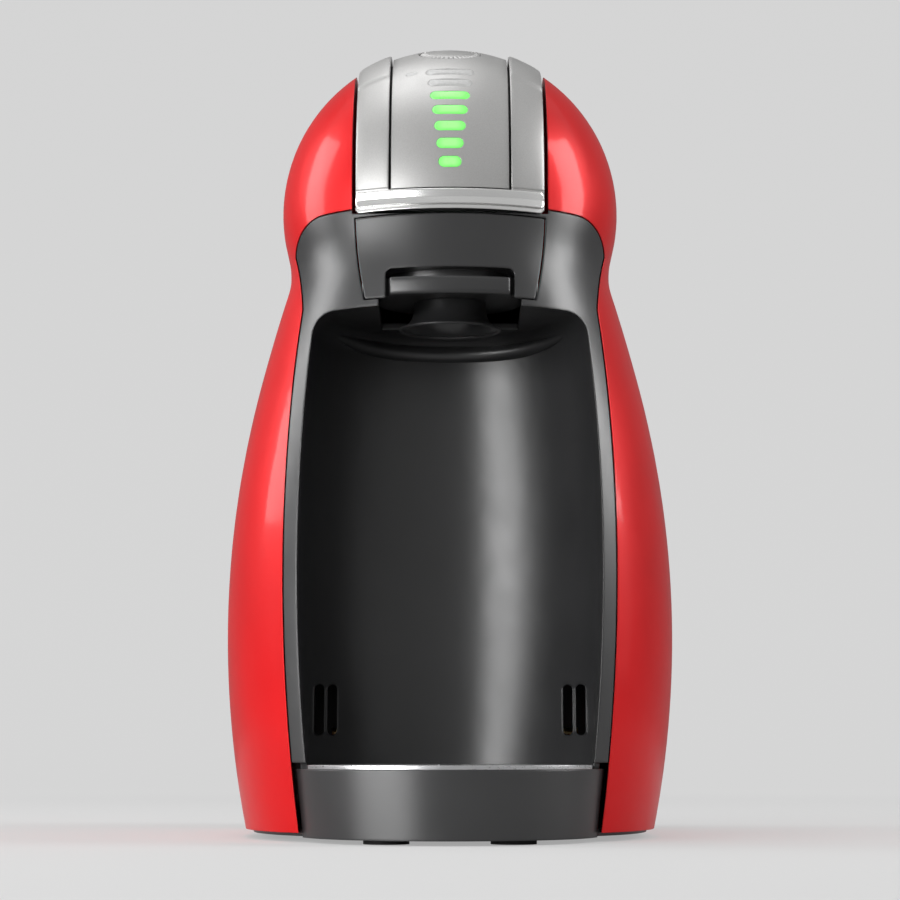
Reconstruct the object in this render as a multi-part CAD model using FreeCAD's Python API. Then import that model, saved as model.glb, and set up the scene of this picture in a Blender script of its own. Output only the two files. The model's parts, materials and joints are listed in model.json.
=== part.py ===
import FreeCAD, Part

import math
import os

V = FreeCAD.Vector

# Pod coffee machine, millimetres. X to the right, Y to the back, Z up.
# The origin is on the table, under the middle of the machine.

# Head: a ball on top of the body
HEAD_RADIUS = 63.5
HEAD_Y = -38.0
HEAD_Z = 234.3

# Body: widest at the belly, narrow at the waist under the head
BELLY_HALF_WIDTH = 84.5
BELLY_Z = 77.0
BELLY_ARC_RADIUS = 364.0
BELLY_MID_Y = -15.0
BELLY_POWER = 2.3
BELLY_FRONT_Y = -106.0
WAIST_BLEND = 6.0
BACK_Y = 125.0
BACK_Z = 88.0
BACK_ARC_RADIUS = 300.0
SHOULDER_LOW_Z = 180.0
SHOULDER_HIGH_Z = 230.0
CHEST_Z = 165.0
BODY_BOTTOM_Z = 3.2

# Walls, seams and clearances
WALL = 2.4
SEAM = 0.5
FIT = 0.3
SLIP = 0.05

# Rear line of the side shells, where the tank begins
REAR_Y = 58.5
REAR_COVER_THICK = 2.5

# Black fascia outline in front view
SEAM_HALF_WIDTH = 59.4
SEAM_Z = 100.0
SEAM_ARC_RADIUS = 719.0
SEAM_WAIST_Z = 192.0
SEAM_CHEEK_HALF = 57.2
SEAM_CORNER_RADIUS = 11.0
SEAM_HOLLOW_SHARE = 0.36
FASCIA_TOP_Z = 225.5
STRIP_WIDTH = 5.0

# Cup cavity in the fascia
CAVITY_Y = -78.0
CAVITY_DEPTH = 52.0
CAVITY_TOP_Z = 189.0
CAVITY_TOP_ROUND = 8.0
CEILING_SLOT_HALF = 25.5
CEILING_SLOT_BACK_Y = -48.5

HOOK_SLOT_WIDTH = 3.4
HOOK_SLOT_INNER_X = 43.5
HOOK_SLOT_OUTER_X = 47.9
HOOK_SLOT_LOW_Z = 37.6
HOOK_SLOT_HIGH_Z = 56.2

# Base and feet
FLOOR_LOW_Z = 2.0
FLOOR_THICK = 2.6
TONGUE_HALF = 44.0
PLINTH_TOP_Z = 18.0
PLINTH_WALL = 2.6
FOOT_RADIUS = 8.0
FOOT_SINK = 1.0
FRONT_FOOT = (22.0, -104.0)
REAR_FOOT = (36.0, 76.0)

# Drip tray and grate
TRAY_FRONT_Y = -125.0
TRAY_SIDE_Y = -84.0
TRAY_HALF_TOP = 54.6
TRAY_HALF_LOW = 52.0
TRAY_LOW_Z = 1.6
TRAY_RIM_Z = 25.6
TRAY_WALL = 2.0
TRAY_FLOOR_THICK = 2.0
GRATE_THICK = 1.4
GRATE_SLOT_WIDTH = 3.0
GRATE_SLOT_PITCH = 7.0
GRATE_BORDER = 9.0
TRAY_GAP = 0.8
HOOK_WIDTH = 2.4
HOOK_LOW_Z = 12.0
HOOK_HIGH_Z = 20.0
HOOK_REACH = 4.0

# Locking handle, lip and display strip on the head
HANDLE_HALF = 34.9
ARM_HALF = 34.0
ARM_GAP = 0.9
HANDLE_THICK = 2.4
HANDLE_REAR_DEG = 100.0
DISPLAY_HALF = 21.2
STRIP_DROP = 0.6
STRIP_THICK = 2.2
CROWN_REAR_DEG = 178.0
CROWN_THICK = 2.4
LIP_LOW_DEG = -9.8
LIP_HIGH_DEG = -2.6
LIP_PROUD = 2.8
LIP_GAP_DEG = 1.0
WEB_THICK = 1.7
WEB_RIM = 9.0
SPOKE_LOW_DEG = 25.0
SPOKE_HIGH_DEG = 60.0
HUB_RADIUS = 12.0
HUB_INNER_X = 26.7
CRANK_RADIUS = 8.5
CRANK_REST_DEG = -30.0
CRANK_SWING_DEG = 60.0
CRANK_PIN_RADIUS = 2.0
CRANK_PIN_REACH = 4.7

# Light bars on the display
BAR_COUNT = 7
BAR_LIT_COUNT = 5
BAR_FIRST_DEG = 6.4
BAR_STEP_DEG = 6.55
BAR_FIRST_WIDTH = 8.3
BAR_WIDTH_STEP = 1.55
BAR_HEIGHT = 4.2
LAMP_X = -14.0
LAMP_DEG = 46.5
LAMP_WIDTH = 4.2
LAMP_HEIGHT = 2.2
LED_BOARD_DEG = 26.0
LED_BOARD_DISTANCE = 52.0
LED_BOARD_HALF = (14.6, 20.8)
BOARD_THICK = 1.6
LED_POST_RADIUS = 2.0
LED_POST_PLACE = (12.4, 9.0)

# Controls on the crown
DIAL_DEG = 67.0
DIAL_RADIUS = 11.3
DIAL_WELL_DEPTH = 10.0
DIAL_GROOVES = 36
DIAL_GROOVE_RADIUS = 0.5
DIAL_STEM_RADIUS = 3.0
WELL_WALL = 1.8
ENCODER_SIZE = (16.0, 14.0, 7.0)
SLIDER_DEG = 92.0
SLIDER_PAD = (28.0, 9.0)
SLIDER_PAD_DROP = 1.4
SLIDER_KNOB = (8.0, 6.0, 1.3)
SLIDER_TRAVEL = 10.0
SLIDER_STEM = (3.0, 2.0)
SLIDER_SWITCH = (20.0, 8.0, 6.0)
BUTTON_DEG = 118.0
BUTTON_RADIUS = 6.5
BUTTON_TRAVEL = 1.5
BUTTON_WELL_DEPTH = 9.0
BUTTON_STEM_RADIUS = 1.6
BUTTON_CAP_THICK = 4.0
BUTTON_SWITCH = (8.0, 8.0, 5.0)
SPRING_WIRE = 0.7

# Capsule drawer, the chin under the handle
DRAWER_TOP_Z = 222.2
DRAWER_LOW_Z = 191.9
DRAWER_HALF_TOP = 34.0
DRAWER_HALF_MID = 32.8
DRAWER_HALF_LOW = 30.2
DRAWER_WALL = 2.6
DRAWER_BACK_Y = -84.0
RECESS_HALF = 23.0
RECESS_TOP_Z = 202.6
GRIP_HALF = 21.4
GRIP_LOW_Z = 192.8
GRIP_HIGH_Z = 199.3
GRIP_THICK = 3.0
CUP_Y = -70.0
CUP_RADIUS = 26.5
CUP_WALL = 2.2
CUP_LOW_Z = 195.0
CUP_RIM_Z = 219.0
CUP_FLOOR_THICK = 2.0
CUP_HOLE_RADIUS = 8.0
RUNNER_REACH = 28.8
RUNNER_THICK = 2.4
RUNNER_Z = 207.8
RUNNER_BACK_Y = -48.0
RUNNER_FRONT_Y = -88.0
RAIL_THICK = 2.2
SKIRT_NECK_RADIUS = 13.2
SKIRT_WAIST_RADIUS = 15.1
SKIRT_RIM_RADIUS = 18.8
SKIRT_WAIST_Z = 187.6
SKIRT_LOW_Z = 184.6
SKIRT_WALL = 1.6

# Inner frame: a spine plate and two cheeks that carry the handle
CHEEK_INNER_X = 29.2
CHEEK_THICK = 2.5
CHEEK_FRONT_Y = -84.0
CHEEK_NECK_Z = 204.0
SPINE_Y = 34.0
SPINE_THICK = 3.0
SPINE_HALF = 40.0

# Injector carriage over the cup
CARRIAGE_HALF = 27.4
CARRIAGE_LOW_Z = 226.0
CARRIAGE_HIGH_Z = 233.5
CARRIAGE_LENGTH = 22.0
CARRIAGE_ARM_INNER = 22.4
CARRIAGE_ARM_OUTER = 25.8
CARRIAGE_ARM_BACK_Y = -40.0
GUIDE_PIN_RADIUS = 2.0
GUIDE_PIN_Z = 229.8
GUIDE_PIN_SLIP = 0.1
CRANK_SLOT_GAP = 0.25
NEEDLE_RADIUS = 1.2
NEEDLE_GAP = 0.6
INJECTOR_SEAL_RADIUS = 9.0
INJECTOR_SEAL_THICK = 3.0
INLET_RADIUS = 3.0
INLET_X = -10.0
INLET_Y = -66.0
INLET_HEIGHT = 7.5

# Water tank, lid and valve
TANK_GAP = 0.8
TANK_WALL = 2.2
TANK_TOP_Z = 186.0
LID_SEAM = 0.5
HINGE_OUT = 5.8
HINGE_RADIUS = 4.0
HINGE_PIN_RADIUS = 1.6
KNUCKLE_HALF = 9.0
LUG_THICK = 4.5
OUTLET_Y = 85.0
STUB_RADIUS = 8.0
STUB_BORE = 5.5
STUB_LOW_Z = 10.0
VALVE_HEAD_RADIUS = 4.8
VALVE_HEAD_THICK = 2.0
VALVE_STEM_RADIUS = 1.5
COUPLING_WALL = 2.6
COUPLING_FLOOR = 2.0
COUPLING_GAP = 0.4
PUSHER_RADIUS = 1.2
RING_RADIUS = 0.9
RING_GAP = 0.1
RING_Z = 15.0
VALVE_STEM_TOP_Z = 25.0
BRIDGE_HALF = 3.0

# Water path and heat
HOSE_RADIUS = 3.6
HOSE_BORE = 2.2
HOSE_Z = 11.0
HOSE_BEND = 9.0
TUBE_RADIUS = 2.6
TUBE_BORE = 1.4
TUBE_BEND = 10.0
DELIVERY_TOP_Z = 256.0
FLOW_METER = (-30.0, 46.5)
FLOW_METER_RADIUS = 8.0
FLOW_METER_HEIGHT = 15.0
FEED_SIDE_X = -58.0
PUMP_Y = 10.0
PUMP_Z = 34.0
PUMP_COIL = (40.0, 40.0, 38.0)
PUMP_COIL_X = -4.0
PUMP_CORE_RADIUS = 7.0
PUMP_INLET_X = -46.0
PUMP_OUTLET_X = 50.0
PUMP_MOUNT_THICK = 6.0
PUMP_MOUNT_X = (-38.0, 34.0)
PUMP_MOUNT_HALF_Y = 11.0
PRESSURE_SIDE_X = 62.0
PRESSURE_RUN_Z = 74.0
BLOCK_HALF_X = 22.0
BLOCK_Y = (-12.0, 28.0)
BLOCK_Z = (95.0, 165.0)
BLOCK_PORT_X = 10.0
BLOCK_PORT_RADIUS = 4.0
BLOCK_PORT_HEIGHT = 8.0
BLOCK_LUG_RADIUS = 5.0
BLOCK_LUG_X = 14.0
BLOCK_RIBS = 6
THERMOSTAT_RADIUS = 7.0
THERMOSTAT_THICK = 4.0
TERMINAL = (0.8, 6.3, 9.0)
TERMINAL_INSET = 6.0
THERMOSTAT_SPACING = 28.0

# Boards
CONTROL_BOARD = (72.0, 80.0)
CONTROL_BOARD_LOW_Z = 72.0
BOARD_POST_RADIUS = 3.0
BOARD_POST_LENGTH = 4.4
RELAY_SIZE = (20.0, 18.0, 9.0)
RELAY_PLACE = (-16.0, 23.0)
CHOKE_SIZE = (20.0, 16.0, 7.0)
CHOKE_PLACE = (16.0, 58.0)
PLUG_SIZE = (10.0, 5.0, 6.0)
PLUG_PLACES = ((8.0, 6.5), (22.0, 6.5))
CAN_RADIUS = 4.0
CAN_HEIGHT = 9.0
CAN_PLACES = ((-22.0, 44.0), (-11.0, 44.0))

# Cord gland in the plinth and the screws
GLAND_X = 0.0
GLAND_RADIUS = 5.2
GLAND_BORE = 3.6
GLAND_LENGTH = 12.0
GLAND_FLANGE = 1.5
SCREW_RADIUS = 1.6
SCREW_HEAD_RADIUS = 3.0
SCREW_HEAD_THICK = 1.6
SCREW_LENGTH = 11.0
BOSS_RADIUS = 4.2
BOSS_HEIGHT = 16.0
BOSS_PLACES = ((69.0, 20.0), (66.0, -45.0))

# Values that follow from the ones above
HEAD = V(0, HEAD_Y, HEAD_Z)
FLOOR_TOP_Z = FLOOR_LOW_Z + FLOOR_THICK
STRIP_RADIUS = HEAD_RADIUS - STRIP_DROP
HANDLE_INNER_RADIUS = HEAD_RADIUS - HANDLE_THICK
BAND_RADIUS = STRIP_RADIUS - STRIP_THICK
BAND_INNER_RADIUS = BAND_RADIUS - CROWN_THICK
WEB_INNER_X = ARM_HALF - WEB_THICK
BAND_HALF = WEB_INNER_X - SEAM
CHEEK_OUTER_X = CHEEK_INNER_X + CHEEK_THICK
CEILING_TOP_Z = CAVITY_TOP_Z + WALL
FASCIA_BACK_Y = CAVITY_Y + CAVITY_DEPTH + 2.0 * WALL
TANK_FRONT_Y = REAR_Y + TANK_GAP
TANK_LOW_Z = PLINTH_TOP_Z + FIT
TANK_FLOOR_TOP_Z = TANK_LOW_Z + TANK_WALL
LIFT = 2.0 * CRANK_RADIUS * math.sin(math.radians(CRANK_SWING_DEG / 2.0))
TRAY_FLOOR_Z = FLOOR_TOP_Z + FIT
GRATE_TOP_Z = TRAY_RIM_Z + GRATE_THICK
FAR = 400.0
ROWS_BODY = 15
ROWS_WAIST = 14
ROWS_HEAD = 9
ROWS_CAVITY = 4
ROUND_POINTS = 64
CROWN_CUT_DEG = 60.0
FAN_STEP_DEG = 60.0


def box(x, y, z):
    """Block between three pairs of limits."""
    return Part.makeBox(x[1] - x[0], y[1] - y[0], z[1] - z[0], V(x[0], y[0], z[0]))


def rod(start, end, radius):
    """Round bar from one point to another."""
    return Part.makeCylinder(radius, (end - start).Length, start, end - start)


def pipe(start, end, radius, bore):
    """Round bar with a bore along it."""
    return rod(start, end, radius).cut(rod(start, end, bore))


def fuse(shapes):
    """One clean solid from several that overlap or touch."""
    return shapes[0].multiFuse(shapes[1:]).removeSplitter()


def group(shapes):
    """Separate solids kept in one node."""
    return Part.makeCompound(shapes)


def mirrored(shape):
    """The same shape on the other side of the middle plane."""
    return shape.mirror(V(0, 0, 0), V(1, 0, 0))


def both_sides(shape):
    """A shape and its mirror image."""
    return [shape, mirrored(shape)]


def smooth_step(t):
    """0 below 0, 1 above 1, with level ends between."""
    t = min(max(t, 0.0), 1.0)
    return t * t * t * (t * (6.0 * t - 15.0) + 10.0)


def mix(a, b, t):
    """Value a at t = 0 and b at t = 1."""
    return a + (b - a) * t


def smooth_max(a, b, blend):
    """The larger value, rounded over where the two are close."""
    near = max(blend - abs(a - b), 0.0)
    return max(a, b) + near * near / (4.0 * blend)


def bulge(top, centre, radius, z):
    """Height of a round arc at z, with its crest at the centre."""
    return top - radius + math.sqrt(radius * radius - (z - centre) ** 2)


def head_half(z, inset):
    """Half width of the head ball at height z."""
    return math.sqrt(max((HEAD_RADIUS - inset) ** 2 - (z - HEAD_Z) ** 2, 0.0))


def oval(z, inset):
    """Half width, front, back, widest place and roundness of the body at height z."""
    ball = head_half(z, inset)
    if z >= HEAD_Z:
        return ball, HEAD_Y - ball, HEAD_Y + ball, HEAD_Y, 2.0
    down = smooth_step((HEAD_Z - z) / (HEAD_Z - CHEST_Z))
    belly = bulge(BELLY_HALF_WIDTH, BELLY_Z, BELLY_ARC_RADIUS, z) - inset
    half = smooth_max(belly, ball, WAIST_BLEND)
    front = mix(HEAD_Y - HEAD_RADIUS, BELLY_FRONT_Y, down) + inset
    shoulder = smooth_step((z - SHOULDER_LOW_Z) / (SHOULDER_HIGH_Z - SHOULDER_LOW_Z))
    back = mix(bulge(BACK_Y, BACK_Z, BACK_ARC_RADIUS, z) - inset, HEAD_Y + ball, shoulder)
    return half, front, back, mix(HEAD_Y, BELLY_MID_Y, down), mix(2.0, BELLY_POWER, down)


def back_at(x, z):
    """Y of the body's outside at the back, at a place given by x and z."""
    half, front, back, mid, power = oval(z, 0.0)
    return mid + (back - mid) * (1.0 - (abs(x) / half) ** power) ** (1.0 / power)


def section(z, inset):
    """Level section of the body, moved in by the inset: a rounded oval as a closed curve."""
    half, front, back, mid, power = oval(z, inset)
    points = []
    for i in range(ROUND_POINTS):
        turn = 2.0 * math.pi * i / ROUND_POINTS
        across, along = math.sin(turn), math.cos(turn)
        reach = mid - front if along > 0 else back - mid
        size = ((abs(along) / reach) ** power + (abs(across) / half) ** power) ** (-1.0 / power)
        points.append(V(size * across, mid - size * along, z))
    curve = Part.BSplineCurve()
    marks = [float(i) for i in range(ROUND_POINTS + 1)]
    curve.interpolate(Points=points, PeriodicFlag=True, Parameters=marks)
    return Part.Wire(curve.toShape())


def envelope(inset):
    """Solid of the whole body and head, moved in by the inset. It is cut off flat near the crown."""
    low = BODY_BOTTOM_Z - inset
    rows = [mix(low, SHOULDER_LOW_Z, i / ROWS_BODY) for i in range(ROWS_BODY)]
    rows += [mix(SHOULDER_LOW_Z, HEAD_Z, i / ROWS_WAIST) for i in range(ROWS_WAIST)]
    ball = HEAD_RADIUS - inset
    step = math.radians(CROWN_CUT_DEG) / (ROWS_HEAD - 1)
    rows += [HEAD_Z + ball * math.sin(step * i) for i in range(ROWS_HEAD)]
    return Part.makeLoft([section(z, inset) for z in rows], True, False)


def head_ball(radius):
    """Ball about the centre of the head."""
    return Part.makeSphere(radius, HEAD)


def wedge(low_deg, high_deg, half):
    """Fan-shaped block about the head's cross axis. 0 degrees points forward and 90 up."""
    steps = max(2, int(math.ceil((high_deg - low_deg) / FAN_STEP_DEG)) + 1)
    points = [V(-half, HEAD_Y, HEAD_Z)]
    for i in range(steps + 1):
        turn = math.radians(mix(low_deg, high_deg, i / steps))
        points.append(V(-half, HEAD_Y - FAR * math.cos(turn), HEAD_Z + FAR * math.sin(turn)))
    face = Part.Face(Part.makePolygon(points + points[:1]))
    return face.extrude(V(2.0 * half, 0, 0))


def ball_band(outer, inner, low_deg, high_deg, half):
    """Strip of a ball shell that runs over the head from one angle to another."""
    ring = head_ball(outer).cut(head_ball(inner))
    return ring.common(wedge(low_deg, high_deg, half))


def on_head(shape, degrees):
    """Moves a shape drawn along +Z from the origin so that it points out of the head at an angle."""
    moved = shape.copy()
    turn = FreeCAD.Placement(HEAD, FreeCAD.Rotation(V(1, 0, 0), 90.0 - degrees))
    moved.Placement = turn.multiply(shape.Placement)
    return moved


def disc(radius, low, high):
    """Upright round block about the Z axis."""
    return Part.makeCylinder(radius, high - low, V(0, 0, low))


def centred_box(size, low, high):
    """Block about the Z axis with a length and a width."""
    return box((-size[0] / 2.0, size[0] / 2.0), (-size[1] / 2.0, size[1] / 2.0), (low, high))


def pill(width, height, low, high):
    """Upright block with round ends, long in X."""
    half = (width - height) / 2.0
    bars = [centred_box((2.0 * half, height), low, high)]
    bars += [disc(height / 2.0, low, high).translate(V(x, 0, 0)) for x in (-half, half)]
    return fuse(bars)


def front_prism(edges, back_y):
    """Solid swept to the back from an outline drawn in front view."""
    face = Part.Face(Part.Wire(edges))
    return face.extrude(V(0, back_y + FAR, 0))


def front_point(x, z):
    """Point of a front-view outline, far in front."""
    return V(x, -FAR, z)


def seam_half(z):
    """Half width of the black fascia at height z, below the waist."""
    return bulge(SEAM_HALF_WIDTH, SEAM_Z, SEAM_ARC_RADIUS, z)


def fascia_prism(grow):
    """Front-view outline of the fascia, swept back. It can be grown to leave a seam."""
    low = BODY_BOTTOM_Z - 2.0 * WALL
    foot = front_point(seam_half(low) + grow, low)
    widest = front_point(SEAM_HALF_WIDTH + grow, SEAM_Z)
    waist = front_point(seam_half(SEAM_WAIST_Z) + grow, SEAM_WAIST_Z)
    corner_z = FASCIA_TOP_Z - SEAM_CORNER_RADIUS
    corner_x = SEAM_CHEEK_HALF - SEAM_CORNER_RADIUS
    cheek = front_point(SEAM_CHEEK_HALF + grow, corner_z)
    hollow = front_point(mix(waist.x, cheek.x, SEAM_HOLLOW_SHARE), (waist.z + cheek.z) / 2.0)
    turn = math.radians(45.0)
    round_size = SEAM_CORNER_RADIUS + grow
    elbow = front_point(corner_x + round_size * math.cos(turn), corner_z + round_size * math.sin(turn))
    top = front_point(corner_x, FASCIA_TOP_Z + grow)
    edges = []
    for side in (1.0, -1.0):
        flip = [V(side * p.x, p.y, p.z) for p in (foot, widest, waist, hollow, cheek, elbow, top)]
        edges.append(Part.Arc(flip[0], flip[1], flip[2]).toShape())
        edges.append(Part.Arc(flip[2], flip[3], flip[4]).toShape())
        edges.append(Part.Arc(flip[4], flip[5], flip[6]).toShape())
    edges.append(Part.LineSegment(top, V(-top.x, top.y, top.z)).toShape())
    edges.append(Part.LineSegment(foot, V(-foot.x, foot.y, foot.z)).toShape())
    return front_prism(Part.__sortEdges__(edges), FASCIA_BACK_Y)


def drawer_prism(grow):
    """Front-view outline of the capsule drawer, swept back."""
    mid_z = (DRAWER_LOW_Z + DRAWER_TOP_Z) / 2.0
    top = front_point(DRAWER_HALF_TOP + grow, DRAWER_TOP_Z + grow)
    mid = front_point(DRAWER_HALF_MID + grow, mid_z)
    low = front_point(DRAWER_HALF_LOW + grow, DRAWER_LOW_Z - grow)
    flip = [V(-p.x, p.y, p.z) for p in (top, mid, low)]
    edges = [Part.Arc(top, mid, low).toShape(), Part.Arc(*flip).toShape()]
    edges += [Part.LineSegment(top, flip[0]).toShape(), Part.LineSegment(low, flip[2]).toShape()]
    return front_prism(Part.__sortEdges__(edges), DRAWER_BACK_Y)


def half_oval(half, depth, z):
    """Level outline open to the front: straight sides and a half oval at the back."""
    if half >= depth:
        oval = Part.Ellipse(V(0, CAVITY_Y, z), half, depth)
        curve = Part.ArcOfEllipse(oval, 0.0, math.pi).toShape()
    else:
        oval = Part.Ellipse(V(0, CAVITY_Y + depth, z), V(half, CAVITY_Y, z), V(0, CAVITY_Y, z))
        curve = Part.ArcOfEllipse(oval, -math.pi / 2.0, math.pi / 2.0).toShape()
    front = CAVITY_Y - 2.0 * CAVITY_DEPTH
    corners = [V(half, CAVITY_Y, z), V(half, front, z), V(-half, front, z), V(-half, CAVITY_Y, z)]
    edges = [curve]
    edges += [Part.LineSegment(a, b).toShape() for a, b in zip(corners, corners[1:])]
    return Part.Wire(Part.__sortEdges__(edges))


def cavity(grow):
    """Space for the cup, barrel-shaped in front view, with a rounded ceiling edge."""
    low, high = FLOOR_TOP_Z - grow, CAVITY_TOP_Z + grow
    levels = [mix(low, high, i / ROWS_CAVITY) for i in range(ROWS_CAVITY + 1)]
    outlines = [half_oval(seam_half(z) - STRIP_WIDTH + grow, CAVITY_DEPTH + grow, z) for z in levels]
    solid = Part.makeLoft(outlines, True, False)
    rim = [e for e in solid.Edges if e.BoundBox.ZMin > high - FIT and e.BoundBox.YMax > CAVITY_Y - WALL]
    return solid.makeFillet(CAVITY_TOP_ROUND + grow, rim)


BODY = envelope(0.0)
SKIN = BODY.cut(envelope(WALL))


def side_shell():
    """Right-hand red shell, from the head to the foot, with two screw bosses inside."""
    keep = box((HANDLE_HALF + SEAM, FAR), (-FAR, REAR_Y), (BODY_BOTTOM_Z, FAR))
    shell = SKIN.common(keep).cut(fascia_prism(SEAM))
    pieces = [shell]
    holes = []
    limit = envelope(WALL / 2.0)
    for x, y in BOSS_PLACES:
        top = FLOOR_TOP_Z + BOSS_HEIGHT
        boss = rod(V(x, y, FLOOR_TOP_Z), V(x, y, top), BOSS_RADIUS)
        rib = box((x, x + FAR), (y - WALL / 2.0, y + WALL / 2.0), (FLOOR_TOP_Z + FIT, top))
        pieces += [boss, rib.common(limit)]
        holes.append(rod(V(x, y, 0), V(x, y, top - WALL), SCREW_RADIUS + SLIP))
    return fuse(pieces).cut(group(holes))


def hook_slot(x, low, high, width):
    """Upright slot with round ends through the cavity's side wall."""
    start, end = CAVITY_Y + WALL, CAVITY_Y + CAVITY_DEPTH
    half = width / 2.0
    ends = [rod(V(x, start, z), V(x, end, z), half) for z in (low + half, high - half)]
    return fuse([box((x - half, x + half), (start, end), (low + half, high - half))] + ends)


def front_fascia():
    """Black front: the strip beside the red shells, the cup cavity and its ceiling."""
    hidden = envelope(WALL).cut(cavity(WALL))
    solid = BODY.common(fascia_prism(0.0)).cut(hidden).cut(cavity(0.0))
    cuts = [drawer_prism(SEAM)]
    lip_room = ball_band(HEAD_RADIUS + 2.0 * LIP_PROUD, BAND_INNER_RADIUS - WALL, LIP_LOW_DEG - LIP_GAP_DEG,
                         HANDLE_REAR_DEG, HANDLE_HALF + SEAM)
    cuts.append(lip_room)
    slot = (-CEILING_SLOT_HALF, CEILING_SLOT_HALF)
    cuts.append(box(slot, (-FAR, CEILING_SLOT_BACK_Y), (CAVITY_TOP_Z - FIT, CEILING_TOP_Z + FIT)))
    cuts.append(box((-FAR, FAR), (-FAR, TRAY_SIDE_Y + TRAY_GAP), (-FAR, GRATE_TOP_Z + TRAY_GAP)))
    cuts.append(box((-FAR, FAR), (-FAR, FAR), (-FAR, FLOOR_TOP_Z)))
    low_gap = (HOOK_SLOT_WIDTH - HOOK_WIDTH) / 2.0
    places = [(HOOK_SLOT_INNER_X, HOOK_SLOT_LOW_Z, HOOK_SLOT_HIGH_Z)]
    places.append((HOOK_SLOT_OUTER_X, HOOK_SLOT_LOW_Z, HOOK_SLOT_HIGH_Z))
    places.append((HOOK_SLOT_INNER_X, HOOK_LOW_Z - 3.0 * low_gap, HOOK_HIGH_Z + 3.0 * low_gap))
    for x, low, high in places:
        cuts += both_sides(hook_slot(x, low, high, HOOK_SLOT_WIDTH))
    for tool in cuts:
        solid = solid.cut(tool)
    return biggest(solid)


def biggest(shape):
    """The largest solid of a shape, without crumbs left by a cut."""
    return max(shape.Solids, key=lambda solid: solid.Volume)


def rear_cover():
    """Flat plate that closes the body behind, with posts for the control board."""
    front = REAR_Y - REAR_COVER_THICK
    plate = envelope(WALL + SEAM).common(box((-FAR, FAR), (front, REAR_Y), (PLINTH_TOP_Z, FAR)))
    posts = [rod(V(x, front - BOARD_POST_LENGTH, z), V(x, front + FIT, z), BOARD_POST_RADIUS)
             for x, z in board_corners()]
    return fuse([plate] + posts)


def board_corners():
    """Places of the control board's four posts in x and z."""
    half = CONTROL_BOARD[0] / 2.0 - 2.0 * BOARD_POST_RADIUS
    low = CONTROL_BOARD_LOW_Z + 2.0 * BOARD_POST_RADIUS
    high = CONTROL_BOARD_LOW_Z + CONTROL_BOARD[1] - 2.0 * BOARD_POST_RADIUS
    return [(x, z) for x in (-half, half) for z in (low, high)]


def nape_cover():
    """Black cover behind the head, between the two red shells."""
    top = HEAD_Z + HEAD_RADIUS * math.sin(math.radians(180.0 - CROWN_REAR_DEG)) - SEAM
    return SKIN.common(box((-HANDLE_HALF, HANDLE_HALF), (HEAD_Y, REAR_Y), (SHOULDER_LOW_Z, top)))


def bar_degrees(index):
    """Angle of a light bar on the head."""
    return BAR_FIRST_DEG + BAR_STEP_DEG * index


def light_bar(index, grow):
    """One light bar as a round-ended rod that points out of the head."""
    lean = math.radians(bar_degrees(index) - LED_BOARD_DEG)
    low = LED_BOARD_DISTANCE / math.cos(lean) + FIT + BAR_HEIGHT * abs(math.sin(lean)) / 2.0
    width = BAR_FIRST_WIDTH + BAR_WIDTH_STEP * index
    shape = pill(width + 2.0 * grow, BAR_HEIGHT + 2.0 * grow, low, HEAD_RADIUS + WALL)
    return on_head(shape, bar_degrees(index)).common(head_ball(STRIP_RADIUS))


def lamp(grow):
    """Small indicator beside the top light bars."""
    lean = math.radians(LAMP_DEG - LED_BOARD_DEG)
    low = LED_BOARD_DISTANCE / math.cos(lean) + FIT + LAMP_HEIGHT / 2.0
    shape = pill(LAMP_WIDTH + 2.0 * grow, LAMP_HEIGHT + 2.0 * grow, low, HEAD_RADIUS + WALL)
    shape.translate(V(LAMP_X, 0, 0))
    return on_head(shape, LAMP_DEG).common(head_ball(STRIP_RADIUS))


def lights(grow):
    """All light bars and the lamp, as tools that cut their windows."""
    return group([light_bar(i, grow) for i in range(BAR_COUNT)] + [lamp(grow)])


def display_panel():
    """Curved strip over the head, with a window for each light bar and openings for the controls."""
    low = LIP_HIGH_DEG + math.degrees(SEAM / HEAD_RADIUS)
    panel = ball_band(STRIP_RADIUS, BAND_RADIUS, low, CROWN_REAR_DEG, DISPLAY_HALF)
    panel = panel.cut(lights(0.0))
    for tool in control_holes():
        panel = panel.cut(tool)
    pad = centred_box(SLIDER_PAD, STRIP_RADIUS - SLIDER_PAD_DROP, FAR)
    return panel.cut(on_head(pad, SLIDER_DEG))


def control_holes():
    """Holes through the crown for the dial, the button and the slider's stem."""
    slot = (SLIDER_TRAVEL + SLIDER_STEM[0] + 2.0 * FIT, SLIDER_STEM[1] + 2.0 * FIT)
    holes = [on_head(centred_box(slot, HEAD_RADIUS / 2.0, FAR), SLIDER_DEG)]
    for degrees, radius in ((DIAL_DEG, DIAL_RADIUS), (BUTTON_DEG, BUTTON_RADIUS)):
        holes.append(on_head(disc(radius + SEAM, HEAD_RADIUS / 2.0, FAR), degrees))
    return holes


def well(radius, depth, hole):
    """Round cup under the crown that holds a knob or a button."""
    low = STRIP_RADIUS - depth
    wall = disc(radius + SEAM + WELL_WALL, low, BAND_INNER_RADIUS + FIT)
    room = disc(radius + SEAM, low + WELL_WALL, HEAD_RADIUS)
    return wall.cut(room).cut(disc(hole, low, HEAD_RADIUS))


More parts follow.
